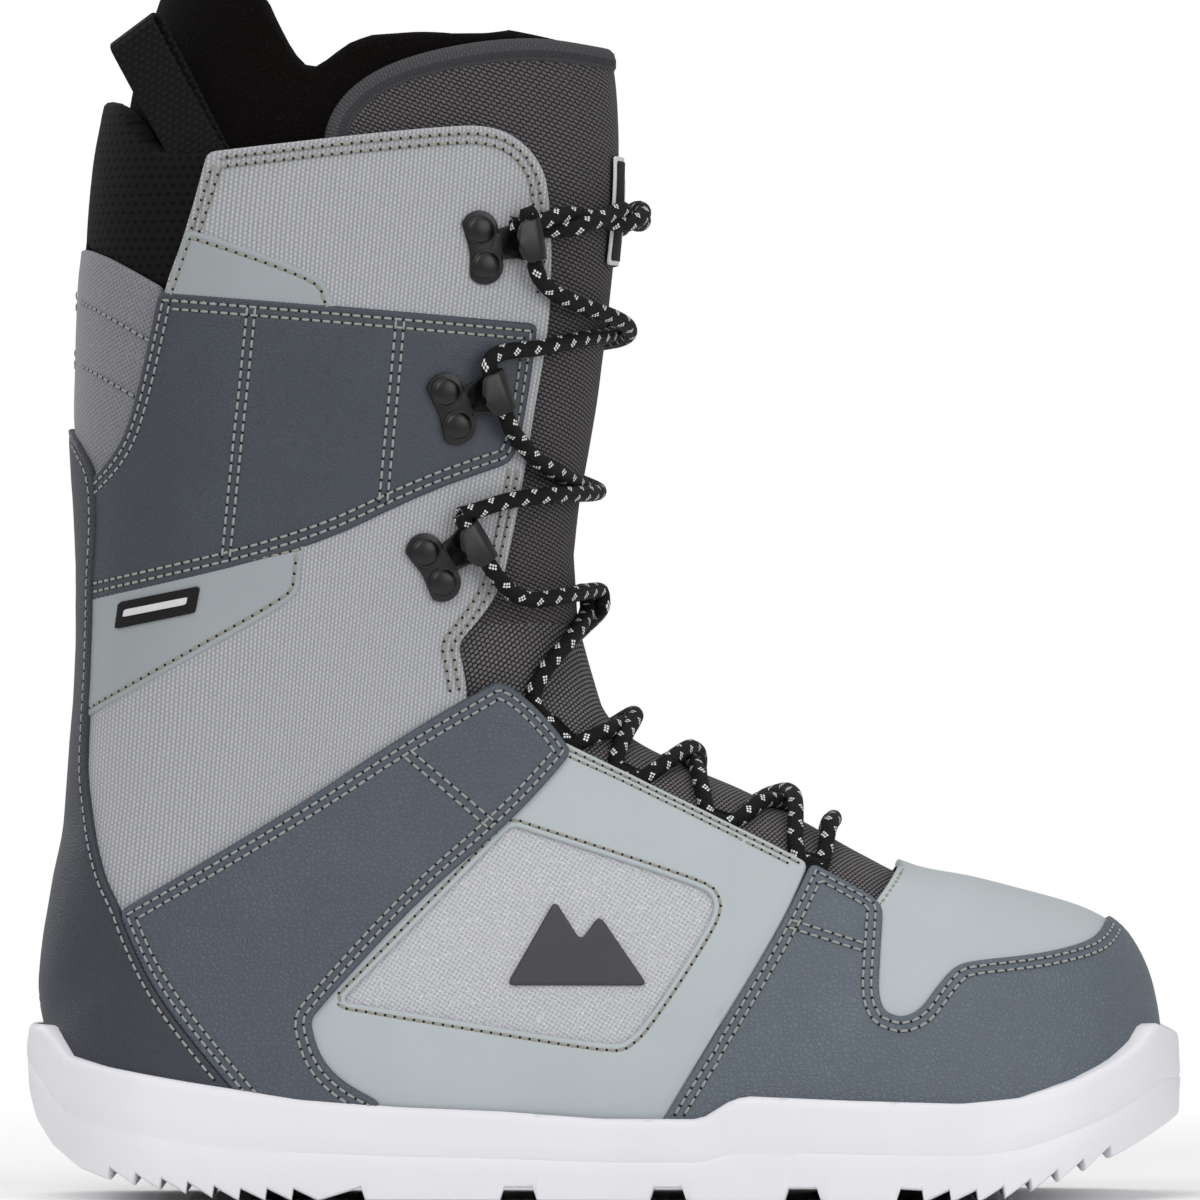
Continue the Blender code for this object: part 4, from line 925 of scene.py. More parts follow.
BAND += [(-140.4, 160.6), (-140.2, 192.0), (-131.5, 201.0), (-126.6, 211.2)]
UPPER_PATCH = [
    (-112.0, 260.8), (-100.2, 257.0), (-81.5, 250.3), (-74.8, 246.6), (-71.0, 237.0), (-119.0, 240.0),
]
LOWER_PATCH = [
    (-140.6, 163.9), (-79.9, 177.2), (-81.5, 163.5), (-86.0, 159.2), (-113.6, 143.9), (-141.4, 128.6),
]
QUARTER = [(-11.8, 123.8), (53.3, 92.2), (55.0, 90.0), (47.2, 72.9), (25.7, 38.1), (14.2, 18.5), (-70, 18.5)]
QUARTER += [(-80, 30), (-86, 48), (-78, 62), (-58, 82), (-36, 100)]
WINDOW = [(-24.7, 100.8), (23.6, 85.2), (28.7, 82.8), (30.0, 79.3), (27.9, 73.4), (10.7, 46.9), (4.8, 42.1)]
WINDOW += [(-4.6, 42.6), (-70.5, 53.6)]
WINDOW_FABRIC = [
    (-29, 106), (25, 89), (33, 84), (33.5, 79), (31, 72), (13.5, 44.5), (5, 38.5), (-5, 39), (-75, 50),
]
TOE_CAP_TOP = [
    (55.6, 90.2), (64.6, 85.2), (72.6, 80.7), (74.8, 78.0), (74.0, 64.9), (73.4, 55.5), (75.3, 50.7),
]
TOE_CAP_TOP += [
    (79.9, 49.3), (84.7, 51.2), (89.2, 57.4), (94.1, 63.0), (99.7, 64.3), (116.6, 65.7), (129.7, 68.6),
]
EMBLEM = [(-26.2, 57.9), (-13.2, 80.9), (-6.2, 69.9), (-1.2, 76.9), (11.8, 57.9)]
REAR_FLEX = [
    (-170, 262), (-143.1, 257.6), (-119.2, 244.8), (-128.9, 203.4), (-138.9, 190.7), (-142, 185),
    (-170, 185),
]


# ---------------------------------------------------------------- leather and fabric of the upper

grey_seams = Thread()
pale_seams = Thread()


def shell_piece(name, outline, top, material, slot_name, replaces, thread=None, both=True, **options):
    """One piece of the shell on each side, cut along a side-view outline."""
    made = []
    rows = options.get("stitched", STITCH_ROWS)
    for word, side in SIDES if both else SIDES[:1]:
        loop = loop_on_skin(outline, side)
        built = panel(f"{name}_{word}", loop, top, material, **options)
        if thread is not None:
            stitch_panel(thread, built, top, rows)
        made.append(built)
        place(built[0], slot_name, replaces=[f"{replaces}_{word}"] if replaces else ())
    return made


shell_piece("cuff", CUFF, -0.9, CANVAS, "canvas", "cuff", stitched=(), thick=2.2, puff=0.5, cloth="shaft")
shell_piece("cuff_band", BAND, 0.4, BAND_LEATHER, "dark_leather", "cuff_band", grey_seams)
shell_piece(
    "upper_patch", UPPER_PATCH, 0.1, SHADED_PATCH_LEATHER, "leather", "upper_patch", pale_seams, stitched=(2.0,),
)
shell_piece(
    "lower_patch", LOWER_PATCH, 0.1, SHADED_PATCH_LEATHER, "leather", "lower_patch", pale_seams, stitched=(2.0,),
)
shell_piece("ankle_strap", STRAP, 1.3, DARK_LEATHER, "dark_leather", "ankle_strap", grey_seams)
shell_piece(
    "window_fabric", WINDOW_FABRIC, -1.7, WINDOW_WEAVE, "weave", "window", stitched=(), thick=1.0, puff=0.5,
)
for side_word, boot_side in SIDES:
    quarter_loop = loop_on_skin(QUARTER, boot_side)
    window_loop = loop_on_skin(WINDOW, boot_side)
    quarter = panel(
        f"quarter_{side_word}", quarter_loop, -0.2, LIGHT_LEATHER, holes=[window_loop], stitched=(1.7,),
    )
    pale_seams.run(ring(window_loop, 1.7, quarter[2], hole=True), -0.32, 2.6, closed=True)
    for row in (1.7, 3.5):
        rows = ring(quarter_loop, row, quarter[2])
        pale_seams.run(rows[skin_point(rows[:, 0], rows[:, 1])[:, 2] > 90.5], -0.22, 2.6)
    place(quarter[0], "leather", replaces=[f"quarter_{side_word}"])


# Seams that cross a piece
GREY_SEAMS = [
    ([(-94.3, 239.7), (-101.3, 172.6)], 0.45, (-1.1, 1.1)),
    ([(-54.6, 236.2), (-59.2, 187.5)], 0.45, (-1.1, 1.1)),
    ([(-53.3, 120.3), (-30.3, 100.6)], 1.35, (-1.2, 1.2)),
]
PALE_SEAMS = [
    ([
        (-103.4, 278.4), (-39.6, 285.2), (-29.4, 284.5), (-24.0, 281.8), (-19.8, 277.2), (-17.7, 270.8),
        (-16.6, 244.0),
    ],
     (-1.2, 1.2)),
    ([(-24.0, 196.5), (-28.6, 172.3), (-32.2, 161.8), (-42.0, 149.4), (-40.0, 137.0)], (-1.3, 1.3)),
    ([(-103.9, 278.0), (-110.6, 257.0), (-115.6, 246.0)], (-1.2, 1.2)),
]
for _, boot_side in SIDES:
    for line, lift, spread in GREY_SEAMS:
        seam(grey_seams, line, boot_side, lift, spread)
    for line, spread in PALE_SEAMS:
        seam(pale_seams, line, boot_side, -0.30, spread, 2.6)


# ---------------------------------------------------------------- pieces that wrap the front or the back


def edge_of_sole(first_row, last_row, count):
    """(u, t) points along the outer sole edge."""
    rows = np.linspace(first_row, last_row, count)
    return np.stack([rows, np.full(count, -0.998)], axis=1)


def side_line(points, spacing=1.3, radius=2.0):
    u, t = locate(resampled(rounded(points, radius, closed=False), spacing, closed=False))
    return np.stack([u, t], axis=1)


def closed_over(half, middle):
    """A lateral half line and its mirror image about the front (middle 0) or the back (middle -1)."""
    half = half.copy()
    half[0, 1] = half[-1, 1] = middle
    other = half[-2:0:-1].copy()
    other[:, 1] = 2 * middle - other[:, 1]
    return np.concatenate([half, other])


def vamp():
    line = [(79.5, 97.0), (81.0, 92.0), (76.0, 84.0), (67.0, 73.0), (67.0, 46.0), (78.0, 44.0), (88.0, 45.0)]
    line += [(99.0, 57.0), (118.0, 60.5), (133.0, 64.0), (139.0, 72.0), (142.5, 74.5)]
    loop = closed_over(side_line(line), 0.0)
    built = panel("vamp", loop, -0.2, LIGHT_LEATHER, stitched=(), puff=0.3)
    place(built[0], "leather", "lower", ["vamp"])
    rows = ring(loop, 1.6, built[2])
    pale_seams.run(rows[np.abs(skin_point(rows[:, 0], rows[:, 1])[:, 1]) > 7.0], -0.3, 2.4)


TIP_ROW = 0.15


def toe_cap():
    tip_corner = [(136.8, 76.2), (134.0, 71.5)]
    rear_side = [(47.2, 72.9), (25.7, 38.1), (14.6, 20.0)]
    top = side_line(tip_corner + TOE_CAP_TOP[::-1] + rear_side)
    edge = edge_of_sole(12.3, TIP_ROW, 110)
    tip = np.stack([np.full(14, TIP_ROW), -0.998 * np.linspace(1, 0, 14) ** 1.2], axis=1)
    loop = closed_over(np.concatenate([top, edge, tip]), 0.0)
    built = panel("toe_cap", loop, 1.1, TOE_LEATHER, stitched=(), thick=2.2)
    for row in STITCH_ROWS:
        rows = ring(loop, row, built[2])
        grey_seams.run(above_sole(rows, 2.0), 1.22, 2.8)
    for _, boot_side in SIDES:
        seam(grey_seams, [(49.6, 74.0), (69.6, 67.6)], boot_side, 1.22, (-1.1, 1.1))
    place(built[0], "toe_leather", "lower", ["toe_cap"])


SOLE_TOP = [
    (-157, 46.6), (-151.7, 46.6), (-145.3, 38.6), (-135, 35.9), (-108.3, 31.4), (-81.5, 27.3), (-54.7, 25.2),
]
SOLE_TOP += [
    (-27.9, 24.1), (-1.1, 22.2), (25.7, 22.2), (33.8, 27.3), (37.8, 28.4), (65.9, 27.3), (95.4, 26.5),
]
SOLE_TOP += [(111.5, 27.9), (127.6, 32.7), (138.3, 37.5), (145, 42.1), (149.5, 47.3), (157, 44)]


def sole_top(x):
    """Height of the sole's upper edge."""
    return np.interp(x, *zip(*SOLE_TOP))


def above_sole(rows, lowest_row=0.0):
    """The (u, t) points that show above the sole, away from the tips of toe and heel."""
    places = skin_point(rows[:, 0], rows[:, 1])
    at_tip = (np.abs(places[:, 1]) < 25) & (places[:, 2] < 64)
    return rows[(places[:, 2] > sole_top(places[:, 0]) + 1) & ~at_tip & (rows[:, 0] > lowest_row)]


def backstay():
    top = side_line(BACKSTAY[: BACKSTAY.index((-92, 21)) + 1])
    edge = edge_of_sole(15.0, 18.9, 36)
    ends = np.array([(19.05, -1.0)])
    loop = closed_over(np.concatenate([top, edge, ends]), -1.0)
    built = panel("backstay", loop, 1.15, BACKSTAY_LEATHER, stitched=(2.0,), thick=2.4)
    rows = ring(loop, 2.0, built[2])
    grey_seams.run(above_sole(rows), 1.05, 2.8)
    place(built[0], "dark_leather", replaces=["backstay"])


def rear_flex():
    loop = closed_over(side_line(REAR_FLEX), -1.0)
    built = panel("rear_flex_panel", loop, -1.2, REAR_WEAVE, stitched=(), puff=0.7, cloth="back")
    for line in (
        [(-158, 248), (-143.4, 242.8), (-122, 230.5)], [(-158, 231), (-143.9, 225.9), (-124.5, 214.7)],
    ):
        for _, boot_side in SIDES:
            seam(grey_seams, line, boot_side, -0.55, (0.0,), 2.6)
    place(built[0], "weave", "cuff", ["rear_flex_panel"])
    return built


vamp()
toe_cap()
backstay()
rear_flex()


# ---------------------------------------------------------------- soft pads


def swell(obj, sewn, most=2.2, pressure=4.0, frames=20):
    """Cloth simulation of padding: the face swells under pressure, up to a cap, and the sewn points stay."""
    scene = bpy.context.scene
    mesh = obj.data
    before = np.empty(len(mesh.vertices) * 3)
    mesh.vertices.foreach_get("co", before)
    group = obj.vertex_groups.new(name="sewn")
    group.add([int(k) for k in sewn], 1.0, "REPLACE")
    cloth = obj.modifiers.new("padding", "CLOTH")
    cloth.settings.vertex_group_mass = "sewn"
    cloth.settings.use_pressure = True
    cloth.settings.uniform_pressure_force = pressure
    cloth.settings.effector_weights.gravity = 0.0
    cloth.settings.quality = 4
    cloth.settings.tension_stiffness = 8.0
    cloth.settings.compression_stiffness = 8.0
    cloth.settings.bending_stiffness = 0.6
    cloth.collision_settings.use_collision = False
    cloth.point_cache.frame_start, cloth.point_cache.frame_end = 1, frames
    for number in range(1, frames + 1):
        scene.frame_set(number)
    solved = obj.evaluated_get(bpy.context.evaluated_depsgraph_get()).to_mesh()
    after = np.empty(len(solved.vertices) * 3)
    solved.vertices.foreach_get("co", after)
    obj.modifiers.remove(cloth)
    obj.vertex_groups.remove(group)
    scene.frame_set(1)
    before, after = before.reshape(-1, 3), after.reshape(-1, 3)
    moved = after - before
    length = np.linalg.norm(moved, axis=1, keepdims=True)
    limit = most * MM
    moved *= np.where(length > 1e-9, limit * np.tanh(length / limit) / np.maximum(length, 1e-9), 0.0)
    mesh.vertices.foreach_set("co", (before + moved).ravel())
    mesh.update()
    swelled = float(np.linalg.norm(moved, axis=1).max()) / MM
    print(obj.name, "swelled by up to", round(swelled, 2), "mm", flush=True)


def near_edge(obj, tree, distance):
    """Points of a panel within a distance of its edge."""
    places = np.empty(len(obj.data.vertices) * 3)
    obj.data.vertices.foreach_get("co", places)
    return [k for k, place in enumerate(places.reshape(-1, 3) / MM) if tree.find(place)[2] < distance]


# ---------------------------------------------------------------- tongue

TONGUE_LIFT = -4.4
INSTEP_LIFT = -5.2
TONGUE_BEND = (0.005, 0.0, 0.150)
TONGUE_BEND_END = (0.008, 0.0, 0.185)
TONGUE_TOP = [(6.4, 308.7), (-11.8, 310.9), (-27.9, 310.0), (-46.6, 306.6), (-60.0, 302.0), (-69.4, 295.3)]
TONGUE_TOP += [(-74.2, 286.0)]
TONGUE_REAR = [(-73.0, 279.0), (-55.0, 274.0), (-40.0, 268.0), (-33.0, 250.0), (-34.0, 200.0), (-40.0, 166.0)]


def tongue():
    line = TONGUE_TOP + TONGUE_REAR + [(-43.0, 153.0), (-30, 153.6), (1, 154.4)]
    loop = closed_over(side_line(line, radius=4.0), 0.0)
    built = panel("tongue_upper", loop, TONGUE_LIFT, TONGUE_KNIT, stitched=(), thick=4.0, puff=0.3,
                  spacing=2.4, cloth="front", radius=1.2)
    swell(built[0], near_edge(built[0], built[2], 6.0), 0.8)
    place(built[0], "tongue_knit", ("cuff", "tongue"), ["tongue_upper"], TONGUE_BEND, TONGUE_BEND_END)
    line = [
        (1, 158.6), (-30, 157.8), (-46.0, 156.0), (-44.0, 128.0), (-24.0, 112.0), (50, 78), (62, 74),
        (84, 76),
    ]
    line += [(90, 88)]
    loop = closed_over(side_line(line, radius=4.0), 0.0)
    built = panel("tongue_lower", loop, INSTEP_LIFT, LIT_INSTEP_KNIT, stitched=(), thick=3.0, puff=0.6,
                  spacing=2.6, cloth="instep", radius=1.0)
    swell(built[0], near_edge(built[0], built[2], 2.2), 1.0)
    place(built[0], "tongue_knit", replaces=["tongue_lower", "tongue_flex_panel"])


def oval(across, tall, sides=12, power=0.8):
    """Profile points (out, up) of a rounded bar."""
    turns = np.arange(sides) * 2 * math.pi / sides
    shape = lambda value: np.sign(value) * np.abs(value) ** power
    return np.stack([across * shape(np.cos(turns)), tall * shape(np.sin(turns))], axis=1)


def sweep(name, path, ups, profile, material, caps=True, grow=None):
    """A bar of constant profile along a path; ups point along the profile's second axis."""
    path, ups = np.asarray(path, float), np.asarray(ups, float)
    ahead = unit(np.gradient(path, axis=0))
    outs = unit(np.cross(ahead, ups))
    ups = np.cross(outs, ahead)
    count = len(profile)
    grow = np.ones(len(path)) if grow is None else grow
    points = np.concatenate(
        [path[k] + grow[k] * (profile[:, :1] * outs[k] + profile[:, 1:] * ups[k]) for k in range(len(path))]
    )
    faces = []
    for i in range(len(path) - 1):
        for k in range(count):
            a, b = i * count + k, i * count + (k + 1) % count
            faces.append((a, b, b + count, a + count))
    if caps:
        faces += [tuple(range(count - 1, -1, -1)), tuple(range(len(points) - count, len(points)))]
    lengths = np.concatenate([[0], np.cumsum(np.linalg.norm(np.diff(path, axis=0), axis=1))])
    around = np.linalg.norm(np.diff(np.concatenate([profile, profile[:1]]), axis=0), axis=1).cumsum()
    uv = np.stack([np.tile(around, len(path)), np.repeat(lengths, count)], axis=1) * MM
    obj = make_mesh(name, points, faces, material, uv=uv)
    outward(obj)
    return obj


def outward(obj):
    shape = bmesh.new()
    shape.from_mesh(obj.data)
    bmesh.ops.recalc_face_normals(shape, faces=shape.faces)
    shape.to_mesh(obj.data)
    shape.free()


def tongue_binding():
    """Tape folded over the tongue's upper edge."""
    half = side_line(TONGUE_TOP + [(-73.0, 279.0)], 2.0)
    half[0, 1] = 0.0
    both = np.concatenate([half[::-1], half[1:] * (1, -1)])
    for _ in range(4):
        both[1:-1] = (both[:-2] + 2 * both[1:-1] + both[2:]) / 4
    u, t = both.T
    path = lifted(u, t, np.full(len(u), TONGUE_LIFT - 1.6))
    along, _ = skin_slopes(u, t)
    tangent = unit(np.gradient(path, axis=0))
    ups = unit(np.cross(skin_normal(u, t), tangent))
    ups *= np.sign((ups * along).sum(1))[:, None].mean()
    obj = sweep("tongue_binding", path - ups * 1.6, ups, oval(2.6, 3.4), TONGUE_TAPE)
    place(obj, "webbing", ("cuff", "tongue"), ["tongue_binding"], TONGUE_BEND, TONGUE_BEND_END)


def locate_front(points):
    """(u, t) of front skin points seen at these (y, z) places from the front."""
    points = np.asarray(points, float).reshape(-1, 2)
    u = np.interp(points[:, 1], SECTIONS[16:, 1], np.arange(16, LAST_ROW + 1))
    t = points[:, 0] / 110.0
    for _ in range(10):
        du, dt = step_to(u, t, points - skin_point(u, t)[..., (1, 2)], (1, 2))
        u = np.clip(u + np.clip(du, -0.4, 0.4), 10, LAST_ROW)
        t = np.clip(t + np.clip(dt, -0.04, 0.04), -0.6, 0.6)
    return np.stack([u, t], axis=1)


def tongue_label():
    """A plain black badge with a pale frame and a pale bar."""
    def patch(name, low, high, half, lift, material):
        outline = [(-half, low), (half, low), (half, high), (-half, high)]
        loop = locate_front(resampled(rounded(outline, 1.2), 1.0))
        built = panel(
            name, loop, lift, material, stitched=(), thick=0.6, spacing=2.0, cloth="front", radius=0.3,
        )
        return place(built[0], "webbing", "tongue")
    frame_piece = patch("tongue_label_frame", 251.4, 281.0, 17.4, -2.5, LABEL_PALE)
    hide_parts("tongue_label")
    patch("tongue_label_field", 252.6, 279.8, 16.2, -2.25, LABEL_BLACK)
    patch("tongue_label_bar", 257.0, 275.0, 4.2, -2.1, LABEL_PALE)


tongue()
tongue_binding()
tongue_label()


# ---------------------------------------------------------------- collar, label and emblem


def rear_collar():
    line = [(-160, 261), (-143.1, 256.6), (-119.2, 243.5), (-111.8, 257.8), (-105.5, 279.0), (-107.0, 282.6)]
    line += [
        (-112, 281.4), (-117.7, 281.6), (-124.4, 283.5), (-128.4, 288.3), (-132.4, 294.5), (-138.8, 297.2),
    ]
    line += [(-160, 298)]
    loop = closed_over(side_line(line, radius=3.0), -1.0)
    built = panel("rear_collar", loop, -2.4, COLLAR_MESH, stitched=(), thick=5.0, puff=0.6, spacing=2.4,
                  cloth="back", radius=2.4)
    swell(built[0], near_edge(built[0], built[2], 3.0), 2.2)
    place(built[0], "collar_mesh", "cuff", ["rear_collar"])


def side_label():
    outline = [(-130.4, 160.6), (-108.3, 165.0), (-109.6, 157.8), (-131.4, 153.4)]
    loop = loop_on_skin(outline, OUTER, radius=0.6)
    built = panel("side_label", loop, 1.0, LABEL_BLACK, stitched=(), thick=0.9, radius=0.35)
    place(built[0], "webbing", replaces=["side_label"])
    bar = loop_on_skin([(-128.6, 158.6), (-111.4, 162.0), (-111.8, 160.0), (-129.0, 156.6)], OUTER, 0.8, 0.3)
    built = panel("side_label_stripe", bar, 1.12, LABEL_PALE, stitched=(), thick=0.3, radius=0.1)
    place(built[0], "webbing")


shell_piece("emblem", EMBLEM, 0.0, BADGE_RUBBER, "rubber_badge", "emblem", stitched=(), thick=1.9, radius=0.9,
            spacing=1.6)
rear_collar()
side_label()


# ---------------------------------------------------------------- liner

LINER_OUT, LINER_IN = -8.6, -17.0
LINER_SPLIT = 0.33
LINER_RIM = [(40.0, 313.0), (0.0, 313.0), (-20.0, 315.5), (-48.0, 315.5), (-62.0, 314.6), (-68.0, 313.0)]
LINER_RIM += [(-74.0, 309.6), (-78.0, 306.8), (-81.5, 306.2), (-84.5, 308.4), (-88.0, 312.8), (-93.0, 320.0)]
LINER_RIM += [(-98.5, 328.0), (-104.0, 333.0), (-110.0, 335.6), (-118.0, 337.0), (-150.0, 336.0)]
LINER_FOOT = [(40.0, 152.0), (-30.0, 146.0), (-70.0, 118.0), (-150.0, 112.0)]


def rows_at_heights(t, line):
    """The row number where each turn of the skin crosses a side-view line of heights."""
    rows = np.linspace(11, LAST_ROW, 321)
    u, v = np.meshgrid(rows, t, indexing="ij")
    points = skin_point(u, v)
    order = np.argsort([x for x, _ in line])
    xs, zs = np.array(line)[order].T
    above = points[..., 2] - np.interp(points[..., 0], xs, zs)
    last_below = len(rows) - 2 - np.argmax((above < 0)[-2::-1], axis=0)
    low = above[last_below, np.arange(len(t))]
    high = above[last_below + 1, np.arange(len(t))]
    share = np.clip(-low / np.maximum(high - low, 1e-6), 0, 1)
    return rows[last_below] + share * (rows[1] - rows[0])


def pad_profile(steps=16, roll=9):
    """(share of the height, drop below the rim, position across the pad): outer face, roll, inner face."""
    outer = [(k / steps, 0.0, 1.0) for k in range(steps)]
    over = [(1.0, 1 - math.sin(a), 0.5 + 0.5 * math.cos(a)) for a in np.linspace(0, math.pi, roll)]
    inner = [(1 - k / steps, 0.0, 0.0) for k in range(1, steps + 1)]
    return outer + over + inner


def liner_pad(name, turns, rim, foot, lifts, material, body, replaces):
    """A soft wall standing inside the shell, with a rolled upper edge."""
    top, bottom = rows_at_heights(turns, rim), rows_at_heights(turns, foot)
    radius = (lifts[0] - lifts[1]) / 2
    along, _ = skin_slopes(top, turns)
    per_mm = 1 / np.linalg.norm(along, axis=1)
    rows = []
    for share, drop, across in pad_profile():
        rim_row = top - radius * per_mm
        u = bottom + share * (rim_row - bottom) + (1 - drop) * radius * per_mm * (share == 1.0)
        lift = lifts[1] + (lifts[0] - lifts[1]) * across
        faces_out = 1 if across == 1.0 else -1 if across == 0.0 else 0
        bulge = 0.9 * math.sin(math.pi * min(share, 1.0)) * faces_out
        rows.append(lifted(u, turns, np.full(len(turns), lift + bulge)))
    points = np.concatenate(rows)
    count = len(turns)
    faces = [
        (i * count + k, i * count + k + 1, (i + 1) * count + k + 1, (i + 1) * count + k)
        for i in range(len(rows) - 1)
        for k in range(count - 1)
    ]
    for k in (0, count - 1):
        ring_points = [i * count + k for i in range(len(rows))]
        half = len(rows) // 2
        faces += [
            (ring_points[i], ring_points[i + 1], ring_points[-i - 2], ring_points[-i - 1])
            for i in range(half - 1)
        ]
        faces.append((ring_points[half - 1], ring_points[half], ring_points[half + 1]))
    obj = make_mesh(name, points, faces, material, uv=cloth_coordinates(points, "front") * MM)
    outward(obj)
    sewn = [i * count + k for i in range(len(rows)) for k in (0, 1, count - 2, count - 1)]
    sewn += [i * count + k for i in (0, 1, len(rows) - 1, len(rows) - 2) for k in range(count)]
    swell(obj, sorted(set(sewn)), 1.6)
    place(obj, "liner_foam", body, replaces, TONGUE_BEND, TONGUE_BEND_END)
    return obj


def liner():
    shaft_turns = -1 + np.linspace(-1 + LINER_SPLIT, 1 - LINER_SPLIT, 97)
    liner_pad("liner_shaft", shaft_turns, LINER_RIM, LINER_FOOT, (LINER_OUT, LINER_IN), FLEECE, "cuff",
              ["liner_shaft"])
    front_turns = np.linspace(-LINER_SPLIT - 0.02, LINER_SPLIT + 0.02, 61)
    liner_pad("liner_tongue", front_turns, LINER_RIM, [(40, 158), (-60, 158)], (
        LINER_OUT - 0.6, LINER_IN + 1.5,
    ),
              FLEECE, ("cuff", "liner_tongue"), ["liner_tongue"])


liner()


# ---------------------------------------------------------------- sole

SOLE_WIDTH = [(-111, 43.5), (-50, 44), (0, 46.5), (40, 52), (75, 57.5), (96, 58.5)]
HEEL_BEVEL = [
    (-156, 34), (-155.4, 27.3), (-153.3, 20.6), (-148.5, 13.9), (-141.8, 8.6), (-133.7, 5.6), (-121.7, 3.2),
]
HEEL_END, TOE_END = -156.0, 156.2
TREAD_DEPTH = 3.2
HEEL_TEETH = (-133.0, -71.0, 7.1)
TOE_TEETH = (85.0, 150.0, 7.3)
LUGS = [(-64, -28), (-18, 12), (22, 48), (58, 78)]
RECESS_DEPTH = 3.6


def sole_half_width(x):
    heel = np.clip((SOLE_WIDTH[0][0] - x) / (SOLE_WIDTH[0][0] - HEEL_END), 0, 1)
    toe = np.clip((x - SOLE_WIDTH[-1][0]) / (TOE_END - SOLE_WIDTH[-1][0]), 0, 1)
    middle = np.interp(x, *zip(*SOLE_WIDTH))
    return middle * (1 - heel**2.2) ** (1 / 2.2) * (1 - toe**2.4) ** 0.5


def sole_bottom(x):
    """Height of the tread's lowest line."""
    heel = np.interp(x, *zip(*(HEEL_BEVEL + [(-100, 0.0)])))
    toe = 16.0 * (np.maximum(x - 100, 0) / 46) ** 1.5
    return np.where(x < 0, heel, toe)


def tread_raise():
    """(x, height above the lowest line) of the teeth and lugs."""
    raised = [(HEEL_END - 1, 0.0), (HEEL_TEETH[0] - 0.4, 0.0)]
    start, stop, pitch = HEEL_TEETH
    for k in range(int((stop - start) / pitch)):
        raised += [(start + k * pitch, TREAD_DEPTH), (start + (k + 1) * pitch - 0.5, 0.0)]
    for low, high in LUGS:
        raised += [(low - 1.2, RECESS_DEPTH), (low, 0.0), (high, 0.0), (high + 1.2, RECESS_DEPTH)]
    start, stop, pitch = TOE_TEETH
    for k in range(int((stop - start) / pitch)):
        raised += [(start + k * pitch, TREAD_DEPTH), (start + k * pitch + 0.5, 0.0)]
    return raised + [(145.5, 0.0), (TOE_END + 1, 0.0)]


def sole_stations():
    """Station positions from heel to toe: dense where the ends curve, with every tooth corner."""
    heel_reach, toe_reach = SOLE_WIDTH[0][0] - HEEL_END, TOE_END - SOLE_WIDTH[-1][0]
    heel = [HEEL_END + heel_reach * (1 - math.cos(a)) for a in np.linspace(0.03, math.pi / 2, 26)]
    toe = [TOE_END - toe_reach * (1 - math.cos(a)) for a in np.linspace(0.03, math.pi / 2, 30)]
    corners = [x for x, _ in tread_raise() if HEEL_END + 2 < x < TOE_END - 2]
    even = list(np.arange(SOLE_WIDTH[0][0], SOLE_WIDTH[-1][0], 3.0))
    wanted = sorted(heel + toe + corners + even)
    kept = [wanted[0]]
    for x in wanted[1:]:
        if x in corners and kept[-1] not in corners and x - kept[-1] < 0.4:
            kept[-1] = x
        elif x - kept[-1] > 0.35 or x in corners:
            kept.append(x)
    return np.array(kept)


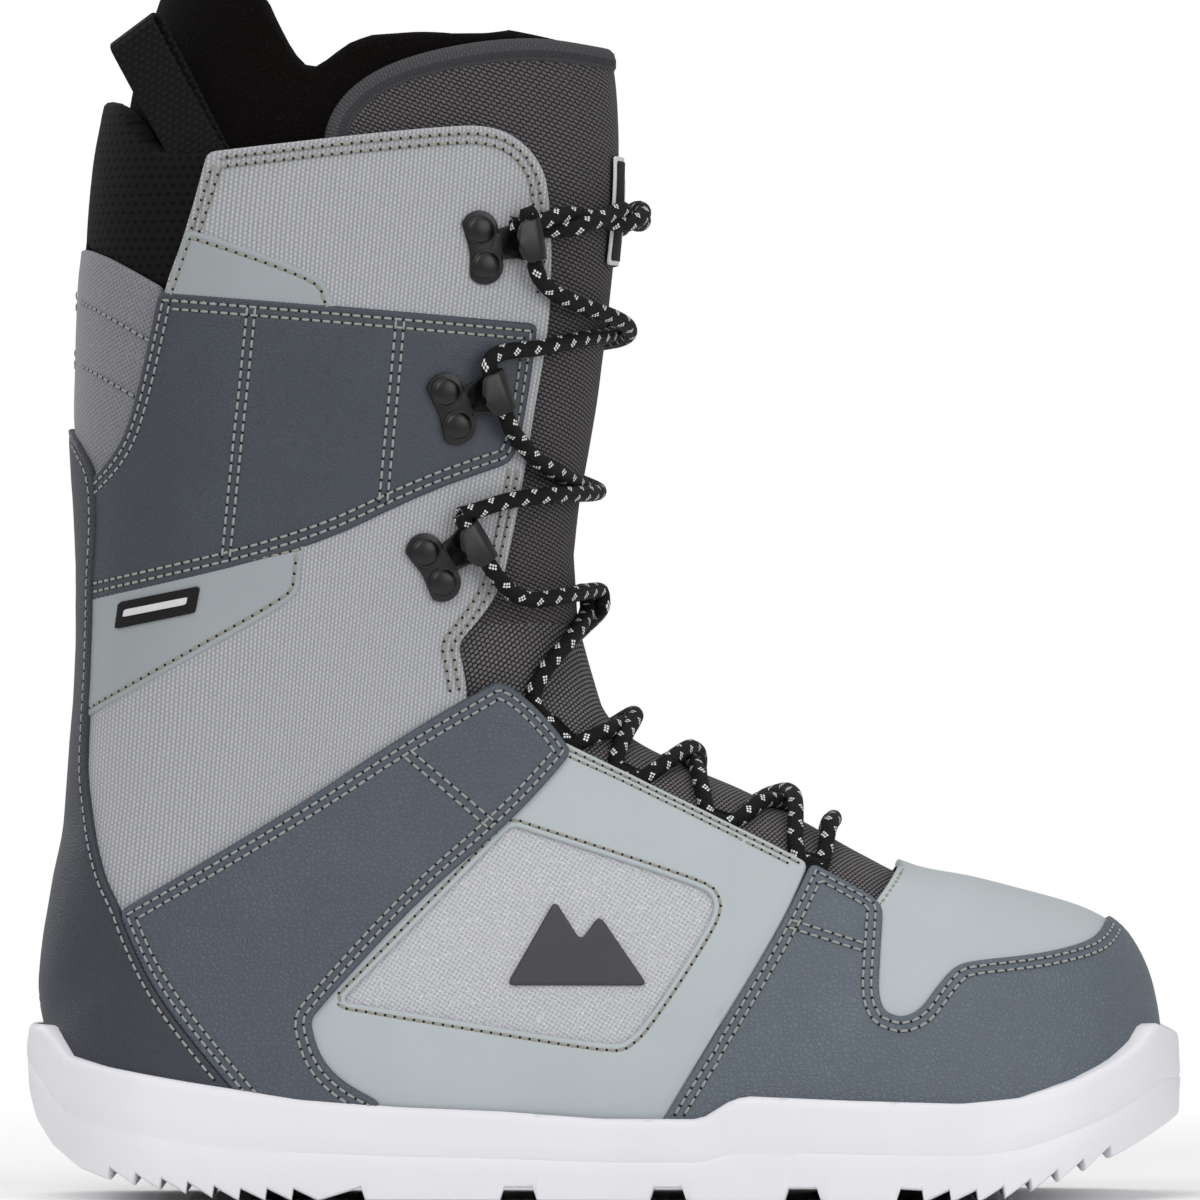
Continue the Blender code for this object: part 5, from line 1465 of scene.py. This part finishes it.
def outsole():
    x = sole_stations()
    half = sole_half_width(x)
    low, high = sole_bottom(x), sole_top(x)
    raised = np.interp(x, *zip(*tread_raise()))
    swing = TOE_SWING * (np.maximum(x - 30, 0) / 126) ** 2
    tall = high - low
    skin_u, skin_t = np.meshgrid(np.linspace(0, 19.5, 400), np.linspace(-1, -0.35, 110), indexing="ij")
    skin_places = skin_point(skin_u, skin_t).reshape(-1, 3)
    skin_tree = tree_of(skin_places)
    edge = np.stack([x, half], axis=1)
    tangent = unit(np.gradient(edge, axis=0))
    outward_normal = np.stack([-tangent[:, 1], tangent[:, 0]], axis=1)
    outward_normal[0], outward_normal[-1] = (-1, 0.02), (1, 0.02)
    rim = np.array([skin_tree.find((x[k], -half[k] + swing[k], high[k]))[2] for k in range(len(x))])
    rim = np.clip(rim - 1.0, 1.2, None)
    bottom = low + raised
    profile = [
        (2.6, bottom),
        (1.0, bottom + 0.1),
        (0.25, bottom + 0.6),
        (0.0, bottom + 1.6),
        (-0.15, low + np.maximum(0.30 * tall, raised + 2.6)),
        (-0.35, low + 0.44 * tall),
        (0.05, low + 0.475 * tall),
        (-0.30, low + 0.51 * tall),
        (-0.10, low + 0.68 * tall),
        (0.10, high - 3.0),
        (0.25, high - 1.5),
        (0.7, high - 0.45),
        (1.4, high),
    ]
    rows = [(np.full(len(x), inset), z) for inset, z in profile] + [
        (rim, high - 0.1), (rim + 1.2, high - 3.5),
    ]
    points, index = [], {}
    for sign in (-1, 1):
        for r, (inset, z) in enumerate(rows):
            moved = edge - outward_normal * np.minimum(inset, 0.92 * np.maximum(half, 1.0))[:, None]
            moved[:, 1] = np.maximum(moved[:, 1], 0.0)
            for k in range(len(x)):
                index[sign, r, k] = len(points)
                points.append((moved[k, 0], sign * moved[k, 1] + swing[k], z[k]))
    faces = []
    last = len(x) - 1
    for r in range(len(rows) - 1):
        for k in range(last):
            for sign in (-1, 1):
                quad = [
                    index[sign, r, k], index[sign, r, k + 1], index[sign, r + 1, k + 1],
                    index[sign, r + 1, k],
                ]
                faces.append(quad if sign < 0 else quad[::-1])
        for k in (0, last):
            quad = [index[-1, r, k], index[-1, r + 1, k], index[1, r + 1, k], index[1, r, k]]
            faces.append(quad if k == 0 else quad[::-1])
    for k in range(last):
        faces.append([index[-1, 0, k + 1], index[-1, 0, k], index[1, 0, k], index[1, 0, k + 1]])
        top = len(rows) - 1
        faces.append([index[-1, top, k], index[-1, top, k + 1], index[1, top, k + 1], index[1, top, k]])
    obj = make_mesh("outsole", points, faces, SOLE_RUBBER)
    outward(obj)
    obj.data.set_sharp_from_angle(angle=math.radians(42))
    place(obj, "sole", "lower", ["outsole"])


outsole()


# ---------------------------------------------------------------- places for hooks, loops and lace


class Spot:
    """A place on the skin with axes: a toward the front centre line, b up along the edge, n outward."""

    def __init__(self, x, z, side):
        u, t = locate([(x, z)])
        self.u, self.t = u, t if side == OUTER else -t
        self.origin = skin_point(self.u, self.t)[0]
        self.n = skin_normal(self.u, self.t)[0]
        along, around = (slope[0] for slope in skin_slopes(self.u, self.t))
        self.a = unit(-side * around)
        self.b = np.cross(self.n, self.a) * side
        if self.b[2] < 0:
            self.b = -self.b
        self.per_mm = np.linalg.inv([[along @ self.a, around @ self.a], [along @ self.b, around @ self.b]])

    def flat(self, a, b, n):
        """Points on the flat plane that touches the skin here."""
        a, b, n = (np.asarray(value, float)[..., None] for value in (a, b, n))
        return self.origin + a * self.a + b * self.b + n * self.n

    def bent(self, a, b, n):
        """Points that follow the skin as it curves."""
        a, b, n = np.broadcast_arrays(*(np.asarray(value, float) for value in (a, b, n)))
        step = np.stack([a, b], axis=-1) @ self.per_mm.T
        u, t = self.u[0] + step[..., 0], self.t[0] + step[..., 1]
        return skin_point(u, t) + n[..., None] * skin_normal(u, t)


HOOK_PLACES = [(-32.7, 255.6), (-41.3, 212.5), (-45.8, 169.9)]
HOOK_BASE = (-0.4, 0.7, -0.4)
RIVET_SPREAD = 4.85
HOOK_PLATE = 1.1
HOOK_BEND = 3.7
HOOK_REACH = 12.7
LOOP_PLACES = [(56.6, 92.8), (32.1, 104.2), (7.2, 116.4), (-9.8, 125.6)]
LOOP_RING = (-0.4, -3.3)
LACE_RADIUS = 2.2
HOOK_SPOTS = {side: [Spot(x, z, side) for x, z in HOOK_PLACES] for _, side in SIDES}
LOOP_SPOTS = {side: [Spot(x, z, side) for x, z in LOOP_PLACES] for _, side in SIDES}


def plate_outline(steps=20):
    """The figure-eight plate with its arm toward the lace, counter-clockwise in (a, b)."""
    lobe, waist, arm = 5.2, 3.7, 4.3
    start = math.radians(28)
    lower = [
        (lobe * math.cos(a), -RIVET_SPREAD + lobe * math.sin(a))
        for a in np.linspace(-math.pi + start, -math.radians(-20), steps)
    ]
    upper = [(p, -q) for p, q in lower[::-1]]
    right = [(8.2, -arm), (10.4, -5.2), (10.4, 5.2), (8.2, arm)]
    return lower + right + upper + [(-waist, 1.0), (-waist, -1.0)]


def bevelled(obj, width, segments=3, angle=40):
    shape = bmesh.new()
    shape.from_mesh(obj.data)
    bmesh.ops.recalc_face_normals(shape, faces=shape.faces)
    edges = [e for e in shape.edges if e.is_manifold and e.calc_face_angle(0.0) > math.radians(angle)]
    bmesh.ops.bevel(shape, geom=edges, offset=width * MM, segments=segments, affect="EDGES", profile=0.5)
    shape.to_mesh(obj.data)
    shape.free()
    obj.data.shade_smooth()
    obj.data.set_sharp_from_angle(angle=math.radians(35))


def hook(name, spot, base, node):
    """A bent sheet hook: a plate under two rivets, an arm, and a rounded lip folded back over the arm."""
    outline = np.array(plate_outline())
    count = len(outline)
    low = spot.flat(outline[:, 0], outline[:, 1], np.full(count, base))
    high = spot.flat(outline[:, 0], outline[:, 1], np.full(count, base + HOOK_PLATE))
    faces = [list(range(count - 1, -1, -1)), list(range(count, 2 * count))]
    faces += [[k, (k + 1) % count, (k + 1) % count + count, k + count] for k in range(count)]
    plate = make_mesh(name + "_plate", np.concatenate([low, high]), faces, BLACK_METAL)
    bevelled(plate, 0.32, 2)
    middle = base + HOOK_BEND
    radius = HOOK_BEND - HOOK_PLATE / 2
    arm = [
        (5.0, base + HOOK_PLATE / 2, 4.2), (8.6, base + HOOK_PLATE / 2, 4.6),
        (11.0, base + HOOK_PLATE / 2, 5.3),
    ]
    fold = [
        (HOOK_REACH + radius * math.sin(a), middle - radius * math.cos(a), 5.5 + 0.35 * math.sin(a))
        for a in np.linspace(0, math.pi, 13)
    ]
    length, wide = 4.6, 5.75
    lip = []
    for s in np.linspace(0.12, 1.0, 12):
        width = wide * (1 - max(0.0, (s - 0.25) / 0.75) ** 2.6) ** 0.5
        lip.append((HOOK_REACH - length * s, middle + radius + 0.5 * s, max(width, 1.4)))
    strip = arm + fold + lip
    columns = np.linspace(-1, 1, 15)
    rows = [
        spot.flat(np.full(15, a), columns * w, n + 0.5 * (1 - columns**2) * (k > 5))
        for k, (a, n, w) in enumerate(strip)
    ]
    points = np.concatenate(rows)
    faces = [
        [i * 15 + k, i * 15 + k + 1, (i + 1) * 15 + k + 1, (i + 1) * 15 + k]
        for i in range(len(rows) - 1)
        for k in range(14)
    ]
    bend = make_mesh(name, points, faces, BLACK_METAL)
    sheet = bend.modifiers.new("sheet", "SOLIDIFY")
    sheet.thickness = HOOK_PLATE * MM
    sheet.offset = 0.0
    bake(bend)
    bevelled(bend, 0.3, 2, 60)
    joined(bend, plate)
    place(bend, "black_metal", replaces=[node])


def bake(obj):
    """Applies the modifiers, in place."""
    solved = obj.evaluated_get(bpy.context.evaluated_depsgraph_get())
    mesh = bpy.data.meshes.new_from_object(solved)
    obj.modifiers.clear()
    obj.data = mesh


def joined(obj, *others):
    """Adds the other meshes to obj's mesh and removes their objects."""
    shape = bmesh.new()
    shape.from_mesh(obj.data)
    for other in others:
        shape.from_mesh(other.data)
    shape.to_mesh(obj.data)
    shape.free()
    for other in others:
        bpy.data.objects.remove(other)


def rivets(name, spot, base, node):
    """Two domed rivet heads with a thin washer edge, and their shanks."""
    top = base + HOOK_PLATE
    profile = [
        (2.0, top - 5.0), (2.0, top), (4.0, top), (4.15, top + 0.15), (4.1, top + 0.35), (3.65, top + 0.45),
    ]
    profile += [
        (3.6 * math.cos(a), top + 0.45 + 1.15 * math.sin(a))
        for a in np.linspace(0.05, math.pi / 2 - 0.08, 8)
    ]
    sides = 32
    points, faces = [], []
    for centre in (-RIVET_SPREAD, RIVET_SPREAD):
        first = len(points)
        for radius, n in profile:
            for k in range(sides):
                turn = 2 * math.pi * k / sides
                points.append(spot.flat(radius * math.cos(turn), centre + radius * math.sin(turn), n))
        for r in range(len(profile) - 1):
            for k in range(sides):
                a, b = first + r * sides + k, first + r * sides + (k + 1) % sides
                faces.append([a, b, b + sides, a + sides])
        faces.append([first + k for k in range(sides - 1, -1, -1)])
        faces.append([len(points) - sides + k for k in range(sides)])
    obj = make_mesh(name, np.array(points), faces, BLACK_METAL)
    outward(obj)
    obj.data.set_sharp_from_angle(angle=math.radians(45))
    place(obj, "black_metal", replaces=[node])


def lace_loop(name, spot, node):
    """Webbing that leaves the edge of the quarter, passes round the lace and goes back."""
    a, n = LOOP_RING
    radius = LACE_RADIUS + 0.75
    path = [(-10.0, n - 0.9), (-6.0, n - 1.0)]
    path += [
        (a + radius * math.cos(t), n + 0.55 * radius * math.sin(t))
        for t in np.linspace(-1.35, 1.35, 12)
    ]
    path += [(-6.0, n + 0.9), (-10.0, n + 0.8)]
    path = rounded(path, closed=False)
    half = 4.6
    columns = np.linspace(-half, half, 9)
    rows = [spot.bent(np.full(9, p), columns, np.full(9, q)) for p, q in path]
    points = np.concatenate(rows)
    faces = [
        [i * 9 + k, i * 9 + k + 1, (i + 1) * 9 + k + 1, (i + 1) * 9 + k]
        for i in range(len(rows) - 1)
        for k in range(8)
    ]
    lengths = np.concatenate([[0], np.cumsum(np.linalg.norm(np.diff(path, axis=0), axis=1))])
    uv = np.stack([np.tile(columns, len(rows)), np.repeat(lengths, 9)], axis=1) * MM
    obj = make_mesh(name, points, faces, LOOP_TAPE, uv=uv)
    sheet = obj.modifiers.new("sheet", "SOLIDIFY")
    sheet.thickness = 0.9 * MM
    sheet.offset = 0.0
    bake(obj)
    bevelled(obj, 0.25, 2, 60)
    place(obj, "webbing", replaces=[node])


for side_word, boot_side in SIDES:
    for level, spot in enumerate(HOOK_SPOTS[boot_side]):
        hook(f"hook_{side_word}_{level + 1}", spot, HOOK_BASE[level], f"hook_{side_word}_{level + 1}")
        rivets(
            f"rivets_{side_word}_{level + 1}", spot, HOOK_BASE[level],
            f"hook_rivets_{side_word}_{level + 1}",
        )
    for level, spot in enumerate(LOOP_SPOTS[boot_side]):
        lace_loop(f"lace_loop_{side_word}_{level + 1}", spot, f"lace_loop_{side_word}_{level + 1}")


# ---------------------------------------------------------------- lace

OVER, UNDER = 2.6, -1.4
BAR_LIFT = 1.8
LOOP_ENDS, HOOK_ENDS = (-2.4, -1.0), (2.6, 1.6)
FOOT_OVER, FOOT_UNDER = 1.5, -1.8
FRONT_U, FRONT_T = np.meshgrid(np.linspace(7, 26.5, 240), np.linspace(-0.55, 0.55, 131), indexing="ij")
FRONT_PLACES = skin_point(FRONT_U, FRONT_T).reshape(-1, 3)
FRONT_TREE = tree_of(FRONT_PLACES)


def over_tongue(place_at, lift):
    """The point of the skin nearest to a place, raised by lift."""
    nearest = FRONT_TREE.find(place_at)[1]
    u, t = FRONT_U.ravel()[[nearest]], FRONT_T.ravel()[[nearest]]
    return (skin_point(u, t) + lift * skin_normal(u, t))[0]


def passage(kind, level, side):
    """The straight run of the lace through a loop or a hook, from its toe end to its top end."""
    if kind == "loop":
        a, n = LOOP_RING
        return [LOOP_SPOTS[side][level].bent(a, b, n) for b in (-3.4, -1.2, 1.2, 3.4)]
    middle = HOOK_BASE[level] + HOOK_BEND
    return [HOOK_SPOTS[side][level].flat(HOOK_REACH + 0.2, b, middle) for b in (-9.0, -3.5, 3.5, 9.0)]


def crossing(start, end, lift, ends):
    """Points over the tongue between two stops; ends are the lifts beside each stop."""
    outer, inner = ends
    shares = (
        (0.12, outer), (0.27, inner), (0.42, lift), (0.5, lift + 0.2), (0.58, lift), (0.73, inner),
        (0.88, outer),
    )
    return [over_tongue(start + (end - start) * share, rise) for share, rise in shares]


def on_tongue(x, z, side, lift):
    """A point over the skin, by its place in the side view."""
    u, t = locate([(x, z)])
    t = t if side == OUTER else -t
    return (skin_point(u, t) + lift * skin_normal(u, t))[0]


def ankle_crossing(side, lift):
    """From the last loop up to the ankle, over the tongue there and level across to the lowest hook."""
    up = ((-19.0, 134.0, -2.4), (-16.0, 142.0, -1.0), (-8.0, 152.0, 0.6), (-1.5, 158.5, lift))
    rising = [on_tongue(x, z, side, rise) for x, z, rise in up]
    across = ((-1.5, 164.0, lift), (-10.0, 162.5, 1.6), (-24.0, 160.5, 2.4))
    level = [on_tongue(x, z, -side, rise) for x, z, rise in across]
    return rising + [over_tongue(np.array([6.0, 0.0, 162.5]), lift + 0.2)] + level


def lace_run(stops, side, lift, start=(), over_ankle=False):
    """The lace up through the stops, changing sides at every one."""
    points = list(start)
    for kind, level in stops:
        stop = passage(kind, level, side)
        if points:
            ends = LOOP_ENDS if kind == "loop" else HOOK_ENDS
            points += ankle_crossing(-side, lift) if over_ankle else crossing(points[-1], stop[0], lift, ends)
        points += stop
        side = -side
    return points


def smooth_path(corners, spacing=0.9, rounds=3):
    corners = np.array(corners)
    for _ in range(rounds):
        quarter = corners[:-1] * 0.75 + corners[1:] * 0.25
        three = corners[:-1] * 0.25 + corners[1:] * 0.75
        between = np.stack([quarter, three], axis=1).reshape(-1, 3)
        corners = np.concatenate([corners[:1], between, corners[-1:]])
    return resampled(corners, spacing, closed=False)


def cord(name, path, radius=LACE_RADIUS, sides=16):
    """A round braided cord; its cloth coordinates are turns round it and length along it."""
    ahead = unit(np.gradient(path, axis=0))
    across = unit(np.cross(ahead[0], (0.0, 0.0, 1.0)))
    points, uv = [], []
    travelled = 0.0
    for k, (middle, direction) in enumerate(zip(path, ahead)):
        across = unit(across - direction * (across @ direction))
        other = np.cross(direction, across)
        travelled += np.linalg.norm(path[k] - path[k - 1]) if k else 0.0
        for j in range(sides + 1):
            turn = 2 * math.pi * j / sides
            points.append(middle + radius * (math.cos(turn) * across + math.sin(turn) * other))
            uv.append((j / sides, travelled))
    wide = sides + 1
    faces = [
        (i * wide + j, i * wide + j + 1, (i + 1) * wide + j + 1, (i + 1) * wide + j)
        for i in range(len(path) - 1)
        for j in range(sides)
    ]
    faces += [tuple(range(sides - 1, -1, -1)), tuple((len(path) - 1) * wide + j for j in range(sides))]
    obj = make_mesh(name, np.array(points), faces, LACE, uv=np.array(uv) * MM)
    return obj


def twisted_bar(phase, first=1):
    """One of the two strands that twist round each other from hook to hook across the top of the tongue."""
    beside = ((-25.0, 261.0), (-20.5, 261.6), (-16.0, 262.2), (-11.5, 262.8), (-7.0, 263.4))[first:]
    outer = [on_tongue(x, z, OUTER, BAR_LIFT) for x, z in beside]
    front = [
        over_tongue(np.array([6.0, y, 265.5 - 0.003 * y * y]), BAR_LIFT)
        for y in np.arange(-24.0, 24.1, 4.0)
    ]
    inner = [on_tongue(x, z, INNER, BAR_LIFT) for x, z in beside[::-1]]
    middles = np.array(outer + front + inner)
    steps = np.linalg.norm(np.diff(middles, axis=0), axis=1)
    at = np.concatenate([[0.0], np.cumsum(steps)])
    turns = phase + math.tau * (at - at[-1] / 2) / 46.0
    away = unit(middles * (1, 1, 0) - (-60.0, 0.0, 0.0))
    return [
        m + 2.1 * (math.cos(t) * a + math.sin(t) * np.array([0, 0, 1.0]))
        for m, t, a in zip(middles, turns, away)
    ]


def laces():
    loops = [("loop", k) for k in range(4)]
    foot_over = lace_run(loops, OUTER, FOOT_OVER)
    foot_under = lace_run(loops, INNER, FOOT_UNDER)
    toe_bar = [over_tongue(np.array([61.0, y, 101.0]), 1.2) for y in (16, 8, 0, -8, -16)]
    low_hook = [("hook", 2)]
    ankle_over = lace_run(low_hook, OUTER, OVER, foot_over[-1:], True)
    ankle_under = lace_run(low_hook, INNER, UNDER, foot_under[-1:], True)
    high_hooks = [("hook", 1), ("hook", 0)]
    shaft_over = lace_run(high_hooks, INNER, OVER, ankle_over[-1:])
    shaft_under = lace_run(high_hooks, OUTER, UNDER, ankle_under[-1:])
    first = smooth_path(ankle_under[::-1][:-1] + foot_under[::-1] + toe_bar + foot_over + ankle_over[1:])
    place(cord("lace_foot", first), "lace_cord", replaces=["lace_lower"])
    top_bar = twisted_bar(math.pi / 2)
    second = smooth_path(shaft_over + top_bar[:: 1 if shaft_over[-1][1] < 0 else -1] + shaft_under[::-1])
    upper = cord("lace_shaft", second)
    place(upper, "lace_cord", ("cuff", "tongue"), ["lace_upper"], (-0.026, 0.0, 0.2), (0.004, 0.0, 0.2))
    knot = cord("lace_end", smooth_path(twisted_bar(-math.pi / 2, 0)))
    place(knot, "lace_cord", ("cuff", "tongue"), (), (-0.026, 0.0, 0.2), (0.004, 0.0, 0.2))


laces()


# ---------------------------------------------------------------- pull loop


PULL_LEAN = math.radians(30)


def pull_loop():
    """Webbing folded double at the back of the shaft, leaning rearward."""
    spot = Spot(-113.0, 284.5, OUTER)
    path = [(-8.2, -14.0), (-7.8, 0.0), (-8.4, 14.0), (-8.6, 28.0)]
    path += [(-5.6 - 3.0 * math.cos(a), 33.5 + 3.2 * math.sin(a)) for a in np.linspace(0, math.pi, 9)]
    path += [(-2.8, 28.0), (-3.2, 14.0), (-4.4, 0.0), (-5.6, -14.0)]
    path = resampled(rounded(path, closed=False), 1.0, closed=False)
    columns = np.linspace(-7.6, 7.6, 17)
    lean, rise = math.sin(PULL_LEAN), math.cos(PULL_LEAN)
    rows = [
        spot.flat(columns * rise - up * lean, columns * lean + up * rise, np.full(17, out))
        for out, up in path
    ]
    points = np.concatenate(rows)
    faces = [
        [i * 17 + k, i * 17 + k + 1, (i + 1) * 17 + k + 1, (i + 1) * 17 + k]
        for i in range(len(rows) - 1)
        for k in range(16)
    ]
    uv = np.stack([np.tile(columns, len(rows)), np.repeat(np.arange(len(rows)) * 1.0, 17)], axis=1) * MM
    obj = make_mesh("pull_loop", points, faces, WEBBING, uv=uv)
    sheet = obj.modifiers.new("sheet", "SOLIDIFY")
    sheet.thickness = 1.5 * MM
    sheet.offset = 0.0
    bake(obj)
    bevelled(obj, 0.4, 2, 60)
    place(obj, "webbing", "pull_loop", ["pull_loop"])


pull_loop()

# ---------------------------------------------------------------- hidden solids that stay as they are

CARRIED = {
    "lasting_board": BOARD,
    "heel_counter": BOARD,
    "footbed": LINER_CLOTH,
    "liner_foot": FLEECE,
    "liner_flex_panel": FLEECE,
}
for node_name, material in CARRIED.items():
    solid_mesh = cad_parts[node_name].data
    solid_mesh.materials.clear()
    solid_mesh.materials.append(material)
    cloth_map = solid_mesh.uv_layers.new(name="cloth")
    for corner in solid_mesh.loops:
        corner_place = solid_mesh.vertices[corner.vertex_index].co
        cloth_map.data[corner.index].uv = (corner_place.y, corner_place.x + corner_place.z)

grey = grey_seams.mesh("grey_stitches", GREY_THREAD, NEEDLE_HOLE_SHADE)
place(grey, "dark_leather")
pale = pale_seams.mesh("pale_stitches", PALE_THREAD, NEEDLE_HOLE_SHADE)
place(pale, "leather")


# ---------------------------------------------------------------- stage, light and camera


AMBIENT = 0.5


def pale_floor():
    """A round pale floor that fades out, so that any view has the same plain ground."""
    shape = bmesh.new()
    bmesh.ops.create_circle(shape, cap_ends=True, radius=1.1, segments=96)
    mesh = bpy.data.meshes.new("floor")
    shape.to_mesh(mesh)
    shape.free()
    paper = Surface("pale_paper", (0.93, 0.93, 0.93, 1.0), 0.9, Specular_IOR_Level=0.1)
    nodes, links = paper.tree.nodes, paper.tree.links
    fine = paper.noise(300.0, 3.0)
    paper.tint((fine - 0.5) * 0.3, (0.90, 0.90, 0.90, 1.0))
    distance = nodes.new("ShaderNodeVectorMath")
    distance.operation = "LENGTH"
    links.new(paper.place(), distance.inputs[0])
    fade = Number(paper.tree, distance.outputs["Value"]).ramp(0.22, 0.75)
    clear, blend = nodes.new("ShaderNodeBsdfTransparent"), nodes.new("ShaderNodeMixShader")
    links.new(fade.socket, blend.inputs["Fac"])
    links.new(paper.shader.outputs[0], blend.inputs[1])
    links.new(clear.outputs[0], blend.inputs[2])
    links.new(blend.outputs[0], nodes["Material Output"].inputs["Surface"])
    mesh.materials.append(paper.material)
    obj = bpy.data.objects.new("floor", mesh)
    obj.location = (0.0, 0.0, -0.0004)
    bpy.context.scene.collection.objects.link(obj)


def area_light(name, place_at, aim, size, power):
    lamp = bpy.data.lights.new(name, "AREA")
    lamp.shape = "RECTANGLE"
    lamp.size, lamp.size_y = size
    lamp.energy = power
    obj = bpy.data.objects.new(name, lamp)
    obj.location = place_at
    obj.rotation_euler = (Vector(aim) - Vector(place_at)).to_track_quat("-Z", "Y").to_euler()
    bpy.context.scene.collection.objects.link(obj)


def studio():
    world = bpy.data.worlds.new("studio")
    world.use_nodes = True
    nodes, links = world.node_tree.nodes, world.node_tree.links
    path = nodes.new("ShaderNodeLightPath")
    strength = nodes.new("ShaderNodeMapRange")
    strength.inputs["To Min"].default_value = AMBIENT
    strength.inputs["To Max"].default_value = 1.0
    links.new(path.outputs["Is Camera Ray"], strength.inputs["Value"])
    links.new(strength.outputs["Result"], nodes["Background"].inputs["Strength"])
    nodes["Background"].inputs["Color"].default_value = (1.0, 1.0, 1.0, 1.0)
    scene = bpy.context.scene
    scene.world = world
    scene.view_settings.view_transform = "Standard"
    area_light("key", (-0.5, -1.3, 1.1), (0.0, 0.0, 0.15), (0.9, 0.9), 9.0)
    area_light("front_fill", (1.1, -1.1, 0.6), (0.0, 0.0, 0.12), (1.0, 1.0), 7.5)
    area_light("top", (0.0, 0.0, 1.5), (0.0, 0.0, 0.1), (1.2, 1.2), 6.0)
    area_light("back_left", (-1.2, 0.9, 0.9), (0.0, 0.0, 0.15), (0.9, 0.9), 6.0)


def camera():
    """Level with the boot's middle and far away, as a long lens sees it."""
    width, distance = 0.3216, 4.0
    middle = Vector((-0.00107, 0.0, 0.1612))
    lens = bpy.data.cameras.new("camera")
    lens.sensor_width = 36.0
    lens.lens = 36.0 * distance / width
    lens.clip_start, lens.clip_end = 0.1, 50.0
    obj = bpy.data.objects.new("camera", lens)
    obj.location = middle + Vector((0.0, -distance - 0.045, 0.0))
    obj.rotation_euler = (math.pi / 2, 0.0, 0.0)
    bpy.context.scene.collection.objects.link(obj)
    bpy.context.scene.camera = obj


pale_floor()
studio()
camera()
